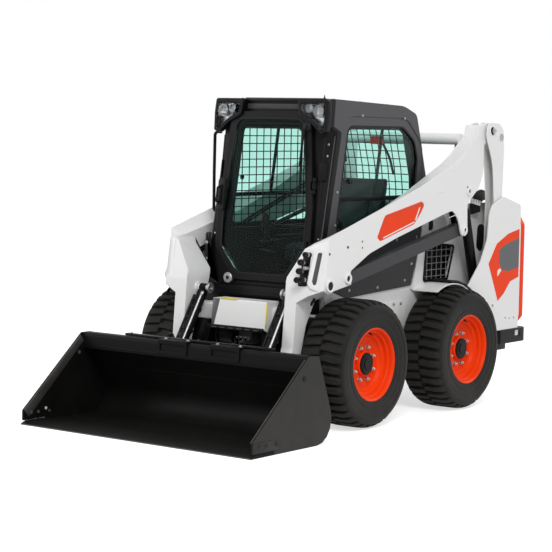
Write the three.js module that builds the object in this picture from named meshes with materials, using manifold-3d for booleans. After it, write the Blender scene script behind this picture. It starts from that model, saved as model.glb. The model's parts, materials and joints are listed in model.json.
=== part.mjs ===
// Skid steer loader: a full-size machine with its bucket, built as an assembly.
// Units are millimetres. The machine faces -Y, +X is its left side and +Z is up.
// The origin is on the ground, below the middle of the overall box.

import * as THREE from 'three';
import { mergeVertices } from 'three/addons/utils/BufferGeometryUtils.js';
import Module from 'manifold-3d';

const wasm = await Module();
wasm.setup();

// ---------------------------------------------------------------- driving dimensions

const bucketReach = 1328;        // front axle to cutting edge
const wheelbase = 1083;
const rearOverhang = 967;        // rear axle to the back of the bumper
const bucketWidth = 1727;
const tyreRadius = 385;
const tyreWidth = 300;
const wheelPlane = 624;          // middle of the machine to the middle of a tyre
const rimRadius = 207;           // bead seat
const rimFlange = 15;            // height of the rim flange over the bead seat
const groundClearance = 206;
const frameHalfWidth = 440;
const chaincaseWidth = 110;
const frameTop = 800;
const cabHalfWidth = 425;
const cabWall = 40;
const cabTop = 1965;
const panelPlane = 645;          // outside of the rear side panels
const panelSheet = 10;
const armOuter = 606;            // outside of a lift arm
const armWidth = 102;
const armPlate = 12;
const legInner = 378;
const legOuter = 462;
const linkPlate = 12;
const plateGap = 8;              // between plates that swing past each other
const seatGap = 0.3;             // between pieces that rest on each other
const pinClearance = 0.6;        // radial, at a turning pin
const moveGap = 6;               // between a moving piece and a fixed one

const frontAxle = bucketReach - (bucketReach + wheelbase + rearOverhang) / 2;
const rearAxle = frontAxle + wheelbase;
const axleHeight = tyreRadius + 2;
const wheelFloor = axleHeight - tyreRadius;
const bumperBack = rearAxle + rearOverhang;
const cuttingEdge = frontAxle - bucketReach;

// Pivots of the lift linkage and of the bucket, as [y, z].
const linkFoot = [rearAxle + 558, 600];
const linkTop = [rearAxle + 458, 1785];
const controlFront = [frontAxle - 89, 880];
const controlRear = [rearAxle + 169, 1140];
const liftFoot = [rearAxle + 458, 560];
const liftEye = [rearAxle + 214, 1392];
const bucketPivot = [frontAxle - 509, 205];
const tiltHead = [frontAxle - 271, 792];
const tiltEye = [frontAxle - 549, 358];

const armInner = armOuter - armWidth;
const armMiddle = armOuter - armWidth / 2;
const tiltPlane = 330;           // middle plane of a tilt cylinder

// Lift and tilt cylinders: eye and pin radii, tube and bore radii, how far the gland lies
// from the first pin, half the eye's width, and where the rod starts.
const liftSize = { eye: 38, pin: 22, tube: 34, bore: 26, gland: 740, half: 26, rodStart: 100 };
const tiltSize = { eye: 26, pin: 18, tube: 32, bore: 21, gland: 400, half: 24, rodStart: 106 };
const boreClearance = 0.8;

// ---------------------------------------------------------------- materials

function finish(colour, roughness, metalness = 0) {
  return new THREE.MeshStandardMaterial({ color: colour, roughness, metalness });
}

const white = finish(0xe4e2df, 0.45);
const charcoal = finish(0x3a3a3c, 0.55);
const black = finish(0x17171a, 0.6);
const orange = finish(0xf0431c, 0.4);
const rubber = finish(0x1c1c1d, 0.9);
const steel = finish(0xb9bcc0, 0.3, 0.9);
const castIron = finish(0x4a4b4d, 0.6, 0.5);
const vinyl = finish(0x202124, 0.7);
const glass = new THREE.MeshStandardMaterial({
  color: 0x6fa9a0, roughness: 0.05, metalness: 0, transparent: true, opacity: 0.35,
});

// ---------------------------------------------------------------- solids

// A closed geometry as a solid that can be joined and cut.
function solid(geometry) {
  const bare = geometry.index ? geometry.toNonIndexed() : geometry.clone();
  bare.deleteAttribute('normal');
  bare.deleteAttribute('uv');
  const merged = mergeVertices(bare, 1e-4);
  const vertProperties = new Float32Array(merged.attributes.position.array);
  const triVerts = new Uint32Array(merged.index.array);
  const mesh = new wasm.Mesh({ numProp: 3, vertProperties, triVerts });
  mesh.merge();
  return new wasm.Manifold(mesh);
}

// An outline from [a, b] or [a, b, radius] corners: a radius rounds its corner.
function outline(corners) {
  const points = [];
  const count = corners.length;
  corners.forEach(([a, b, radius], i) => {
    const here = new THREE.Vector2(a, b);
    if (!radius) {
      points.push(here);
      return;
    }
    const before = new THREE.Vector2(...corners[(i + count - 1) % count].slice(0, 2));
    const after = new THREE.Vector2(...corners[(i + 1) % count].slice(0, 2));
    const toBefore = before.clone().sub(here).normalize();
    const toAfter = after.clone().sub(here).normalize();
    const half = Math.acos(THREE.MathUtils.clamp(toBefore.dot(toAfter), -1, 1)) / 2;
    const reach = radius / Math.tan(half);
    const start = here.clone().addScaledVector(toBefore, reach);
    const end = here.clone().addScaledVector(toAfter, reach);
    const bisector = toBefore.clone().add(toAfter).normalize();
    const centre = here.clone().addScaledVector(bisector, radius / Math.sin(half));
    const turn = Math.PI - 2 * half;
    const steps = Math.max(1, Math.ceil(turn / (Math.PI / 7) - 0.25));
    const from = Math.atan2(start.y - centre.y, start.x - centre.x);
    const to = Math.atan2(end.y - centre.y, end.x - centre.x);
    const sweep = THREE.MathUtils.euclideanModulo(to - from + Math.PI, 2 * Math.PI) - Math.PI;
    for (let k = 0; k <= steps; k += 1) {
      const angle = from + (sweep * k) / steps;
      points.push(new THREE.Vector2(
        centre.x + radius * Math.cos(angle), centre.y + radius * Math.sin(angle)));
    }
  });
  return points;
}

function extruded(corners, depth) {
  const shape = new THREE.Shape(outline(corners));
  return new THREE.ExtrudeGeometry(shape, { depth, bevelEnabled: false, steps: 1 });
}

// A prism along X with its outline in (y, z), between two x values in either order.
function prismX(corners, xa, xb) {
  const geometry = extruded(corners, Math.abs(xb - xa));
  const turn = new THREE.Matrix4().set(
    0, 0, 1, Math.min(xa, xb),
    1, 0, 0, 0,
    0, 1, 0, 0,
    0, 0, 0, 1);
  return solid(geometry.applyMatrix4(turn));
}

// A prism along Y with its outline in (x, z).
function prismY(corners, ya, yb) {
  const geometry = extruded(corners, Math.abs(yb - ya));
  const turn = new THREE.Matrix4().set(
    1, 0, 0, 0,
    0, 0, -1, Math.max(ya, yb),
    0, 1, 0, 0,
    0, 0, 0, 1);
  return solid(geometry.applyMatrix4(turn));
}

// A prism along Z with its outline in (x, y).
function prismZ(corners, za, zb) {
  const geometry = extruded(corners, Math.abs(zb - za));
  return solid(geometry.translate(0, 0, Math.min(za, zb)));
}

function box(xa, xb, ya, yb, za, zb) {
  const geometry = new THREE.BoxGeometry(Math.abs(xb - xa), Math.abs(yb - ya), Math.abs(zb - za));
  return solid(geometry.translate((xa + xb) / 2, (ya + yb) / 2, (za + zb) / 2));
}

// A round bar along X at [y, z].
function pinX([y, z], radius, xa, xb, sides = 16) {
  const geometry = new THREE.CylinderGeometry(radius, radius, Math.abs(xb - xa), sides);
  geometry.rotateZ(Math.PI / 2);
  return solid(geometry.translate((xa + xb) / 2, y, z));
}

// A round bar between two [y, z] points in the plane x, starting and ending at
// the given distances from the first one.
function barBetween(x, from, to, radius, start, end, sides = 14) {
  const direction = new THREE.Vector3(0, to[0] - from[0], to[1] - from[1]).normalize();
  const geometry = new THREE.CylinderGeometry(radius, radius, end - start, sides);
  const turn = new THREE.Quaternion().setFromUnitVectors(new THREE.Vector3(0, 1, 0), direction);
  geometry.applyQuaternion(turn);
  const middle = direction.clone().multiplyScalar((start + end) / 2);
  return solid(geometry.translate(x, from[0] + middle.y, from[1] + middle.z));
}

// A bent tube: a small polygon swept along a rounded chain of points.
function bentTube(points, radius, bend, sides = 8) {
  const path = new THREE.CurvePath();
  const corners = points.map((p) => new THREE.Vector3(...p));
  let from = corners[0];
  for (let i = 1; i < corners.length - 1; i += 1) {
    const back = corners[i - 1].clone().sub(corners[i]).setLength(bend).add(corners[i]);
    const ahead = corners[i + 1].clone().sub(corners[i]).setLength(bend).add(corners[i]);
    path.add(new THREE.LineCurve3(from, back));
    path.add(new THREE.QuadraticBezierCurve3(back, corners[i], ahead));
    from = ahead;
  }
  path.add(new THREE.LineCurve3(from, corners[corners.length - 1]));
  const section = new THREE.Shape();
  section.absarc(0, 0, radius, 0, 2 * Math.PI, false);
  const steps = 6 * (corners.length - 1);
  return solid(new THREE.ExtrudeGeometry(section, {
    extrudePath: path, steps, curveSegments: sides / 2, bevelEnabled: false,
  }));
}

// A turned piece on an axis along X through [y, z]: the profile holds
// [radius, distance] pairs, with distances measured away from the machine.
function turned(profile, side, plane, [y, z], sides) {
  const points = profile.map(([radius, distance]) => new THREE.Vector2(radius, distance));
  const geometry = new THREE.LatheGeometry(points.reverse(), sides);
  geometry.rotateZ(-Math.PI / 2);
  if (side < 0) {
    geometry.rotateZ(Math.PI);
  }
  return solid(geometry.translate(side * plane, y, z));
}

function joined(...solids) {
  return solids.reduce((whole, piece) => whole.add(piece));
}

function cut(whole, ...tools) {
  return tools.reduce((rest, tool) => rest.subtract(tool), whole);
}

// ---------------------------------------------------------------- scene graph

const loader = new THREE.Group();

function add(name, shape, material) {
  const data = shape.getMesh();
  const geometry = new THREE.BufferGeometry();
  const positions = new Float32Array(data.numVert * 3);
  for (let i = 0; i < data.numVert; i += 1) {
    for (let axis = 0; axis < 3; axis += 1) {
      positions[3 * i + axis] = data.vertProperties[i * data.numProp + axis];
    }
  }
  geometry.setAttribute('position', new THREE.BufferAttribute(positions, 3));
  geometry.setIndex(new THREE.BufferAttribute(new Uint32Array(data.triVerts), 1));
  geometry.computeVertexNormals();
  const mesh = new THREE.Mesh(geometry, material);
  mesh.name = name;
  loader.add(mesh);
}

const sides = [['left', 1], ['right', -1]];

// Corners given from the front axle, or from the rear axle, as [y, z, radius].
const fromFront = (corners) => corners.map(([y, ...rest]) => [frontAxle + y, ...rest]);
const fromRear = (corners) => corners.map(([y, ...rest]) => [rearAxle + y, ...rest]);

// ---------------------------------------------------------------- wheels

const hubFace = 60;              // inner face of the hub, inside the tyre's middle plane
const hubRadius = 90;
const wheelSides = 24;

function tyre(side, axle) {
  const half = tyreWidth / 2;
  const seat = rimRadius + seatGap;
  const lip = rimRadius + rimFlange + seatGap;
  const wall = (sign) => [
    [rimRadius + 33, sign * (half - 4)], [(rimRadius + tyreRadius) / 2 - 6, sign * half],
    [tyreRadius - 55, sign * (half - 1)], [tyreRadius - 23, sign * (half - 8)],
    [tyreRadius - 5, sign * (half - 22)],
    [tyreRadius, sign * (half - 38)],
  ];
  const profile = [
    [seat, 45.3 - half], [seat, half - 19.3], [lip, half - 19.3], [lip, half - 9],
    ...wall(1), ...wall(-1).reverse(), [lip, 33 - half], [lip, 45.3 - half],
    [seat, 45.3 - half],
  ];
  return turned(profile, side, wheelPlane, [axle, axleHeight], wheelSides);
}

function wheelRim(side, axle) {
  const half = tyreWidth / 2;
  const flange = rimRadius + rimFlange;
  const profile = [
    [0, 90], [58, 90], [72, 82], [78, 52], [rimRadius - 26, 52], [rimRadius - 16, 64],
    [rimRadius - 10, half - 22], [rimRadius + 3, half - 7], [flange, half - 7],
    [flange, half - 19], [rimRadius, half - 19], [rimRadius, 45 - half],
    [flange, 45 - half], [flange, 35 - half], [rimRadius - 10, 35 - half],
    [rimRadius - 10, 36], [hubRadius, 36], [hubRadius, -hubFace], [0, -hubFace],
  ];
  return turned(profile, side, wheelPlane, [axle, axleHeight], wheelSides);
}

for (const [end, axle] of [['front', frontAxle], ['rear', rearAxle]]) {
  for (const [hand, side] of sides) {
    add(`tyre_${end}_${hand}`, tyre(side, axle), rubber);
    add(`wheel_${end}_${hand}`, wheelRim(side, axle), orange);
  }
}

// ---------------------------------------------------------------- main frame

const wallSheet = 20;
const floorLevel = 700;
const enginePad = 300;
const bulkhead = frontAxle - 117;

function mainFrame() {
  const chaincase = (side) => prismX([
    [frontAxle - 240, 300, 30], [frontAxle - 180, groundClearance, 30],
    [rearAxle + 560, groundClearance, 30], [rearAxle + 690, 330, 40],
    [rearAxle + 820, 470], [rearAxle + 820, frameTop], [frontAxle - 69, frameTop, 15],
    [frontAxle - 109, 700, 30], [frontAxle - 199, 560, 40], [frontAxle - 259, 420, 30],
  ], side * (frameHalfWidth - chaincaseWidth), side * frameHalfWidth);
  const inner = frameHalfWidth - chaincaseWidth;
  const belly = box(-inner, inner, bulkhead, rearAxle + 600,
    groundClearance, groundClearance + wallSheet);
  const front = box(-inner, inner, bulkhead, bulkhead + wallSheet, groundClearance, frameTop);
  const firewall = box(-inner, inner, rearAxle - 20, rearAxle, groundClearance, floorLevel);
  const padA = box(-inner, inner, rearAxle + 120, rearAxle + 180, groundClearance, enginePad);
  const padB = box(-inner, inner, rearAxle + 500, rearAxle + 560, groundClearance, enginePad);
  const axleTube = (side, axle) => pinX([axle, axleHeight], 62,
    side * (frameHalfWidth - 20), side * (wheelPlane - hubFace - seatGap));
  const pivotBracket = (side) => joined(
    prismX([
      [controlFront[0] - 42, controlFront[1] - 60, 15], [controlFront[0] - 42, controlFront[1] + 40, 40],
      [controlFront[0] + 42, controlFront[1] + 40, 40], [controlFront[0] + 70, frameTop],
      [controlFront[0] + 70, 720, 10], [controlFront[0] + 10, 720, 10],
    ], side * (cabHalfWidth + 3), side * (frameHalfWidth + 20)),
    pinX(controlFront, 40, side * frameHalfWidth, side * (armInner - plateGap)),
    pinX(controlFront, 20, side * frameHalfWidth, side * (armOuter - armPlate - plateGap)),
  );
  let frame = joined(belly, front, firewall, padA, padB);
  for (const [, side] of sides) {
    frame = joined(frame, chaincase(side), pivotBracket(side),
      axleTube(side, frontAxle), axleTube(side, rearAxle));
  }
  return frame;
}
add('main_frame', mainFrame(), white);

add('engine_block', box(-250, 250, rearAxle + 60, rearAxle + 640, enginePad + seatGap, 960), castIron);

// ---------------------------------------------------------------- uprights and rear body

const hoodFront = rearAxle + 52;
const hoodTop = 1292;
const hoodHinge = [hoodFront + 17, hoodTop - 17];
const hingePin = 9;
const hingeKnuckle = 14;
const hingeHeights = [620, 1050];
const rearHinge = [-(panelPlane - 13), rearAxle + 839 + moveGap + 27];

const fenderTop = axleHeight + tyreRadius + 31;
const uprightPlane = frameHalfWidth + 15;
const panelInner = panelPlane - panelSheet;

// The plate beside the frame that carries the link and the lift cylinder, with the
// mesh window cut through it and the fender over the rear tyre.
function upright(side) {
  const inside = side * (frameHalfWidth + seatGap);
  const plate = prismX(fromRear([
    [-210, fenderTop - 43, 10], [-160, 930], [-85, 1180, 40], [-20, 1300, 60], [820, 1300, 40],
    [838, 600, 60], [640, 480, 60], [400, 480, 60], [350, fenderTop - 103, 40],
    [300, fenderTop - 43, 10],
  ]), inside, side * uprightPlane);
  const meshWindow = prismX(fromRear([
    [-75, 812, 12], [-45, 1055, 12], [285, 1022, 12], [210, 812, 12],
  ]), side * (frameHalfWidth - 1), side * (uprightPlane + 1));
  const ovalHole = prismX(fromRear([
    [-22, 1130, 16], [-22, 1210, 16], [12, 1210, 16], [12, 1130, 16],
  ]), side * (frameHalfWidth - 1), side * (uprightPlane + 1));
  const hosePort = prismX(fromRear([
    [250, 1120, 40], [250, 1250, 40], [400, 1250, 40], [400, 1120, 40],
  ]), side * (frameHalfWidth - 1), side * (uprightPlane + 1));
  const fenderIn = tyreRadius + 23;
  const ring = cut(
    pinX([rearAxle, axleHeight], fenderTop - axleHeight, inside, side * (panelInner - seatGap), 40),
    pinX([rearAxle, axleHeight], fenderIn, side * (frameHalfWidth - 5), side * panelPlane, 40));
  const sector = prismX([
    [rearAxle, axleHeight], [rearAxle - 260, axleHeight + 520], [rearAxle + 500, axleHeight + 520],
    [rearAxle + 560, axleHeight + 60],
  ], side * (frameHalfWidth - 5), side * panelPlane);
  const linkPin = pinX(linkFoot, 25, inside, side * (panelInner - seatGap));
  const cylinderPin = pinX(liftFoot, 22, inside, side * (panelInner - seatGap));
  const hoodPin = pinX(hoodHinge, hingePin, side * uprightPlane, side * (frameHalfWidth - 30));
  return joined(cut(plate, meshWindow, ovalHole, hosePort), ring.intersect(sector), linkPin, cylinderPin,
    hoodPin);
}

function rearSidePanel(side) {
  const arch = tyreRadius + 40;
  const skin = cut(
    prismX(fromRear([
      [606, 1350, 20], [835, 1290, 20], [838, 453, 10], [400, 453, 10], [100, 700],
      [172, 774], [323, 925, 60], [406, 1067, 60], [423, 1231, 30], [459, 1296, 30],
    ]), side * panelInner, side * panelPlane),
    pinX([rearAxle, axleHeight], arch, side * (panelInner - 1), side * (panelPlane + 1), 40));
  const rearReturn = box(side * 545, side * panelPlane, rearAxle + 815, rearAxle + 839, 480, 1275);
  const topReturn = prismX(fromRear([
    [690, 1328], [834, 1290], [834, 1272], [690, 1310],
  ]), side * (uprightPlane + seatGap), side * panelPlane);
  const panel = joined(skin, rearReturn, topReturn);
  return side > 0 ? panel : joined(panel, ...hingeHeights.map(rearKnuckle));
}

// A round bar along Z at [x, y].
function postZ([x, y], radius, za, zb) {
  const geometry = new THREE.CylinderGeometry(radius, radius, zb - za, 16);
  geometry.rotateX(Math.PI / 2);
  return solid(geometry.translate(x, y, (za + zb) / 2));
}

// A rear door hinge: its knuckle stands out from the side panel and holds the pin.
function rearKnuckle(z) {
  const [x, y] = rearHinge;
  const arm = box(x - hingeKnuckle + 2, x + hingeKnuckle - 2, rearAxle + 830, y, z - 22, z + 22);
  return joined(arm, postZ(rearHinge, hingeKnuckle - 2, z - 22, z + 22),
    postZ(rearHinge, hingePin, z - 50, z + 50));
}

// Dark sheet cover beside the cab, under the lift arm.
function sideCover(side) {
  return prismX([
    [frontAxle + 5, 800, 20], [frontAxle + 150, 752, 20], [rearAxle - 217, 790],
    [rearAxle - 165, 930], [rearAxle - 95, 1170, 20], [rearAxle - 390, 1120],
    [frontAxle + 260, 1010], [frontAxle + 5, 915, 20],
  ], side * (frameHalfWidth + seatGap), side * (frameHalfWidth + 12));
}

for (const [hand, side] of sides) {
  add(`upright_${hand}`, upright(side), white);
  add(`rear_side_panel_${hand}`, rearSidePanel(side), white);
  add(`side_cover_${hand}`, sideCover(side), charcoal);
}

const bumperFront = rearAxle + 586;
const bodyBack = rearAxle + 839;
const doorFace = bodyBack + moveGap;
const doorDepth = 55;

function rearBumper() {
  const outside = panelPlane + 5;
  const beam = prismZ([
    [-outside, bumperFront, 20], [-outside, bumperBack, 70], [outside, bumperBack, 70],
    [outside, bumperFront, 20], [frameHalfWidth + seatGap, bumperFront],
    [frameHalfWidth + seatGap, rearAxle + 850], [-frameHalfWidth - seatGap, rearAxle + 850],
    [-frameHalfWidth - seatGap, bumperFront],
  ], 358, 452);
  const notch = (x) => box(x - 45, x + 45, bumperBack - 40, bumperBack + 1, 385, 425);
  return cut(beam, notch(-480), notch(480));
}
add('rear_bumper', rearBumper(), black);

const doorTop = 1215;
const doorBottom = 470;

// The rear door is a tray that opens towards the engine, with cooling slots.
function rearDoor() {
  const half = panelPlane - 5;
  const shell = prismY([
    [-half, doorBottom + 60, 30], [-half + 50, doorBottom, 20], [half - 50, doorBottom, 20],
    [half, doorBottom + 60, 30], [half, doorTop - 60, 40], [half - 40, doorTop, 20],
    [-half + 40, doorTop, 20], [-half, doorTop - 60, 40],
  ], doorFace, doorFace + doorDepth);
  const hollow = box(-half + 60, half - 60, doorFace - 1, doorFace + doorDepth - 12,
    doorBottom + 60, doorTop - 60);
  let door = cut(shell, hollow);
  for (let row = 0; row < 7; row += 1) {
    const z = doorBottom + 300 + row * 55;
    door = cut(door, box(-330, 330, doorFace, doorFace + doorDepth + 1, z, z + 26));
  }
  for (const z of hingeHeights) {
    const [x] = rearHinge;
    const notch = box(-panelPlane, x + hingeKnuckle + 5,
      doorFace - 1, doorFace + doorDepth + 1, z - 27, z + 27);
    door = cut(door, notch, postZ(rearHinge, hingePin + pinClearance, z - 51, z + 51));
  }
  return door;
}
add('rear_door', rearDoor(), white);

// The hood is a grille frame between the uprights, hinged along its front edge.
function hood() {
  const half = frameHalfWidth - moveGap;
  const slope = [
    [hoodFront, hoodTop - 34], [hoodFront, hoodTop], [rearAxle + 600, hoodTop],
    [rearAxle + 820, hoodTop - 60, 20], [rearAxle + 820, hoodTop - 94],
    [rearAxle + 590, hoodTop - 34],
  ];
  let lid = prismX(slope, -half, half);
  for (let row = 0; row < 8; row += 1) {
    const y = hoodFront + 120 + row * 55;
    lid = cut(lid, box(-330, 330, y, y + 26, hoodTop - 60, hoodTop + 10));
  }
  for (const [, side] of sides) {
    lid = cut(lid, pinX(hoodHinge, hingePin + pinClearance, side * (half + 1), side * (frameHalfWidth - 32)));
  }
  return lid;
}
add('hood', hood(), charcoal);

// ---------------------------------------------------------------- cab

const cabBottom = frameTop + seatGap;
const cabInner = cabHalfWidth - cabWall;
const cabFrontTop = [frontAxle - 15, cabTop];
const cabFrontFoot = [frontAxle - 117, 815];
const lean = (cabFrontTop[0] - cabFrontFoot[0]) / (cabFrontTop[1] - cabFrontFoot[1]);
const cabFrontAt = (z) => cabFrontFoot[0] + lean * (z - cabFrontFoot[1]);
const cabBack = rearAxle - 10;

// A slab that leans with the cab front, between two distances behind its face.
function leaningSlab(near, far, bottom, top, half) {
  return prismX([
    [cabFrontAt(bottom) + near, bottom], [cabFrontAt(bottom) + far, bottom],
    [cabFrontAt(top) + far, top], [cabFrontAt(top) + near, top],
  ], -half, half);
}

function cabSide(side) {
  const frontEdge = 44;
  const plate = prismX([
    [cabFrontAt(cabBottom) + frontEdge, cabBottom], [cabBack, cabBottom],
    [cabBack, 1250], [rearAxle - 25, 1487], [rearAxle - 148, 1884, 60],
    [rearAxle - 300, 1935, 200], [cabFrontAt(cabTop) + frontEdge, cabTop, 8],
  ], side * cabInner, side * cabHalfWidth);
  const windowHole = prismX([
    [frontAxle + 68, 1150, 50], [frontAxle + 238, 1822, 60], [rearAxle - 265, 1800, 90],
    [rearAxle - 160, 1440, 60], [rearAxle - 150, 1150, 60],
  ], side * (cabInner - 1), side * (cabHalfWidth + 1));
  return cut(plate, windowHole);
}

// Toughened glass with a dividing bar, set in the side window.
function sideGlass(side) {
  return prismX([
    [frontAxle + 68.5, 1150.4, 50], [frontAxle + 238.5, 1821.6, 60], [rearAxle - 265.4, 1799.6, 90],
    [rearAxle - 160.5, 1439.8, 60], [rearAxle - 150.4, 1150.4, 60],
  ], side * (cabHalfWidth - 22), side * (cabHalfWidth - 16));
}

function cabRoof() {
  const half = cabInner - seatGap;
  return prismX([
    [cabFrontAt(cabTop) + 44, cabTop - 35], [cabFrontAt(cabTop) + 44, cabTop],
    [rearAxle - 300, 1935, 200], [rearAxle - 160, 1888], [rearAxle - 176, 1856],
    [rearAxle - 310, 1901, 200],
  ], -half, half);
}

const rearWindowHalf = cabInner - 75;
const rearWindow = (inset) => [
  [-rearWindowHalf + inset, 1270 + inset, 40], [-rearWindowHalf + inset, 1800 - inset, 40],
  [rearWindowHalf - inset, 1800 - inset, 40], [rearWindowHalf - inset, 1270 + inset, 40],
];

function cabRear() {
  const half = cabInner - seatGap;
  const wall = prismX([
    [rearAxle - 175, 1855], [rearAxle - 159, 1887], [rearAxle - 148, 1884, 5], [rearAxle - 25, 1487],
    [cabBack, 1250], [cabBack, cabBottom], [cabBack - 30, cabBottom], [cabBack - 30, 1250],
    [rearAxle - 57, 1480],
  ], -half, half);
  return cut(wall, prismY(rearWindow(0), rearAxle - 260, rearAxle + 20));
}

function rearGlass() {
  const slab = prismX([
    [rearAxle - 151, 1830], [rearAxle - 145, 1830], [rearAxle - 40, 1485],
    [cabBack - 12, 1250], [cabBack - 18, 1250], [rearAxle - 46, 1484],
  ], -cabInner, cabInner);
  return slab.intersect(prismY(rearWindow(0.4), rearAxle - 260, rearAxle + 20));
}

const doorSill = 845;
const doorHead = cabTop - 80;
const doorHalf = cabHalfWidth - 63;
const doorSillHalf = doorHalf - 157;
// The door is eight-sided: narrower at the head, widest at the waist, narrow at the sill.
const doorShape = (inset) => [
  [-doorHalf + 62 + inset, doorHead - inset, 30], [doorHalf - 62 - inset, doorHead - inset, 30],
  [doorHalf - inset, 1300, 200], [doorHalf - inset, 1040, 60],
  [doorSillHalf - inset / 2, doorSill + inset, 60], [-doorSillHalf + inset / 2, doorSill + inset, 60],
  [-doorHalf + inset, 1040, 60], [-doorHalf + inset, 1300, 200],
];

const doorGap = moveGap;
const doorThickness = 26;
const doorAxisX = doorHalf - 8;
const doorAxisBack = -doorGap - doorThickness / 2;
const doorHinges = [1080, 1440];

// A round bar on the front door's hinge axis, which leans with the cab front.
function doorBar(radius, bottom, top) {
  const from = [cabFrontAt(bottom) + doorAxisBack, bottom];
  const to = [cabFrontAt(top) + doorAxisBack, top];
  return barBetween(doorAxisX, from, to, radius, 0, Math.hypot(to[0] - from[0], to[1] - from[1]), 12);
}

function doorKnuckle(z) {
  const arm = prismX([
    [cabFrontAt(z) + doorAxisBack, z - 20], [cabFrontAt(z) + 20, z - 20],
    [cabFrontAt(z) + 20, z + 20], [cabFrontAt(z) + doorAxisBack, z + 20],
  ], doorAxisX - 10, doorAxisX + 10);
  return joined(arm, doorBar(hingeKnuckle - 2, z - 20, z + 20), doorBar(hingePin - 2, z - 50, z + 50));
}

// The welded front of the cab round the door opening, with the door's hinges.
function cabFrontFrame() {
  const slab = leaningSlab(0, 43.7, cabBottom, cabTop, cabHalfWidth);
  const opening = prismY(doorShape(22), bulkhead - 200, frontAxle + 200);
  return joined(cut(slab, opening), ...doorHinges.map(doorKnuckle));
}

function frontDoorFrame() {
  const slab = leaningSlab(-doorGap - doorThickness, -doorGap, doorSill - 20, doorHead + 20, cabHalfWidth);
  const leaf = slab.intersect(prismY(doorShape(0), bulkhead - 200, frontAxle + 200));
  const light = prismY(doorShape(46), bulkhead - 200, frontAxle + 200);
  let frame = cut(leaf, light);
  for (const z of doorHinges) {
    frame = joined(frame, doorBar(hingeKnuckle - 2, z - 50, z + 50));
    frame = cut(frame,
      box(doorAxisX - 18, doorAxisX + 30, frontAxle - 300, frontAxle + 100, z - 24, z + 24),
      doorBar(hingePin - 2 + pinClearance, z - 51, z + 51));
  }
  return frame;
}

function frontDoorGlass() {
  const slab = leaningSlab(-doorGap - 17, -doorGap - 11, doorSill - 20, doorHead + 20, cabHalfWidth);
  return slab.intersect(prismY(doorShape(46.4), bulkhead - 200, frontAxle + 200));
}

function cabFloor() {
  const half = frameHalfWidth - chaincaseWidth - seatGap;
  const pan = box(-half, half, bulkhead + wallSheet + seatGap, rearAxle - 45,
    floorLevel - 25, floorLevel);
  const rise = cabInner - 56;
  const rearPan = box(-rise, rise, rearAxle - 75, rearAxle - 45, floorLevel - 25, frameTop + 30);
  const tunnel = box(-200, 200, frontAxle + 430, rearAxle - 45, floorLevel - 25, 930);
  return joined(pan, rearPan, tunnel);
}

add('cab_floor', cabFloor(), charcoal);
for (const [hand, side] of sides) {
  add(`cab_side_${hand}`, cabSide(side), charcoal);
  add(`side_glass_${hand}`, sideGlass(side), glass);
}
add('cab_roof', cabRoof(), charcoal);
add('cab_rear', cabRear(), charcoal);
add('rear_glass', rearGlass(), glass);
add('cab_front_frame', cabFrontFrame(), black);
add('front_door_frame', frontDoorFrame(), black);
add('front_door_glass', frontDoorGlass(), glass);

const handlePlane = frontAxle - 5;
add('grab_handle', bentTube([
  [-cabHalfWidth - seatGap, handlePlane, 1752], [-cabHalfWidth - 52, handlePlane, 1752],
  [-cabHalfWidth - 54, handlePlane, 1500], [-cabHalfWidth - 52, handlePlane, 1250],
  [-cabHalfWidth - seatGap, handlePlane, 1250],
], 10, 30), black);

// ---------------------------------------------------------------- operator's place

const seatLevel = 930;
const seatMiddle = frontAxle + 620;

add('seat_cushion', prismX([
  [seatMiddle - 240, seatLevel + seatGap, 25], [seatMiddle - 250, seatLevel + 125, 45],
  [seatMiddle + 200, seatLevel + 105, 20], [seatMiddle + 200, seatLevel + seatGap, 10],
], -235, 235), vinyl);

add('seat_back', prismX([
  [seatMiddle + 200 + seatGap, seatLevel + 40, 15], [seatMiddle + 200 + seatGap, seatLevel + 130],
  [seatMiddle + 262, 1560, 35], [seatMiddle + 345, 1560, 35], [seatMiddle + 300, seatLevel + 40, 15],
], -225, 225), vinyl);

function controlConsole(side) {
  const inner = 243;
  const outer = cabInner - 57;
  const pedestal = prismX([
    [frontAxle + 420, floorLevel + seatGap], [frontAxle + 380, 980, 20], [frontAxle + 250, 1015, 20],
    [frontAxle + 250, 1060, 20], [frontAxle + 760, 1080, 20], [frontAxle + 760, floorLevel + seatGap],
  ], side * inner, side * outer);
  const lever = side * (inner + outer) / 2;
  const stick = barBetween(lever, [frontAxle + 300, 1040], [frontAxle + 280, 1190], 16, 0, 90, 12);
  const grip = barBetween(lever, [frontAxle + 300, 1040], [frontAxle + 280, 1190], 24, 85, 175, 12);
  return joined(pedestal, stick, grip);
}
for (const [hand, side] of sides) {
  add(`control_console_${hand}`, controlConsole(side), charcoal);
}

// The safety bar swings down over the operator's lap, on pivots in the cab sides.
const barPivot = [rearAxle - 82, 1300];
const barReach = cabInner - 40;
add('seat_bar', bentTube([
  [-cabInner + seatGap, barPivot[0], barPivot[1]], [-barReach, barPivot[0], barPivot[1]],
  [-barReach, frontAxle + 420, 1150], [barReach, frontAxle + 420, 1150],
  [barReach, barPivot[0], barPivot[1]], [cabInner - seatGap, barPivot[0], barPivot[1]],
], 14, 18), black);

// ---------------------------------------------------------------- lift arms

const cutOfCore = 640;           // where the box section opens into two plates

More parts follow.
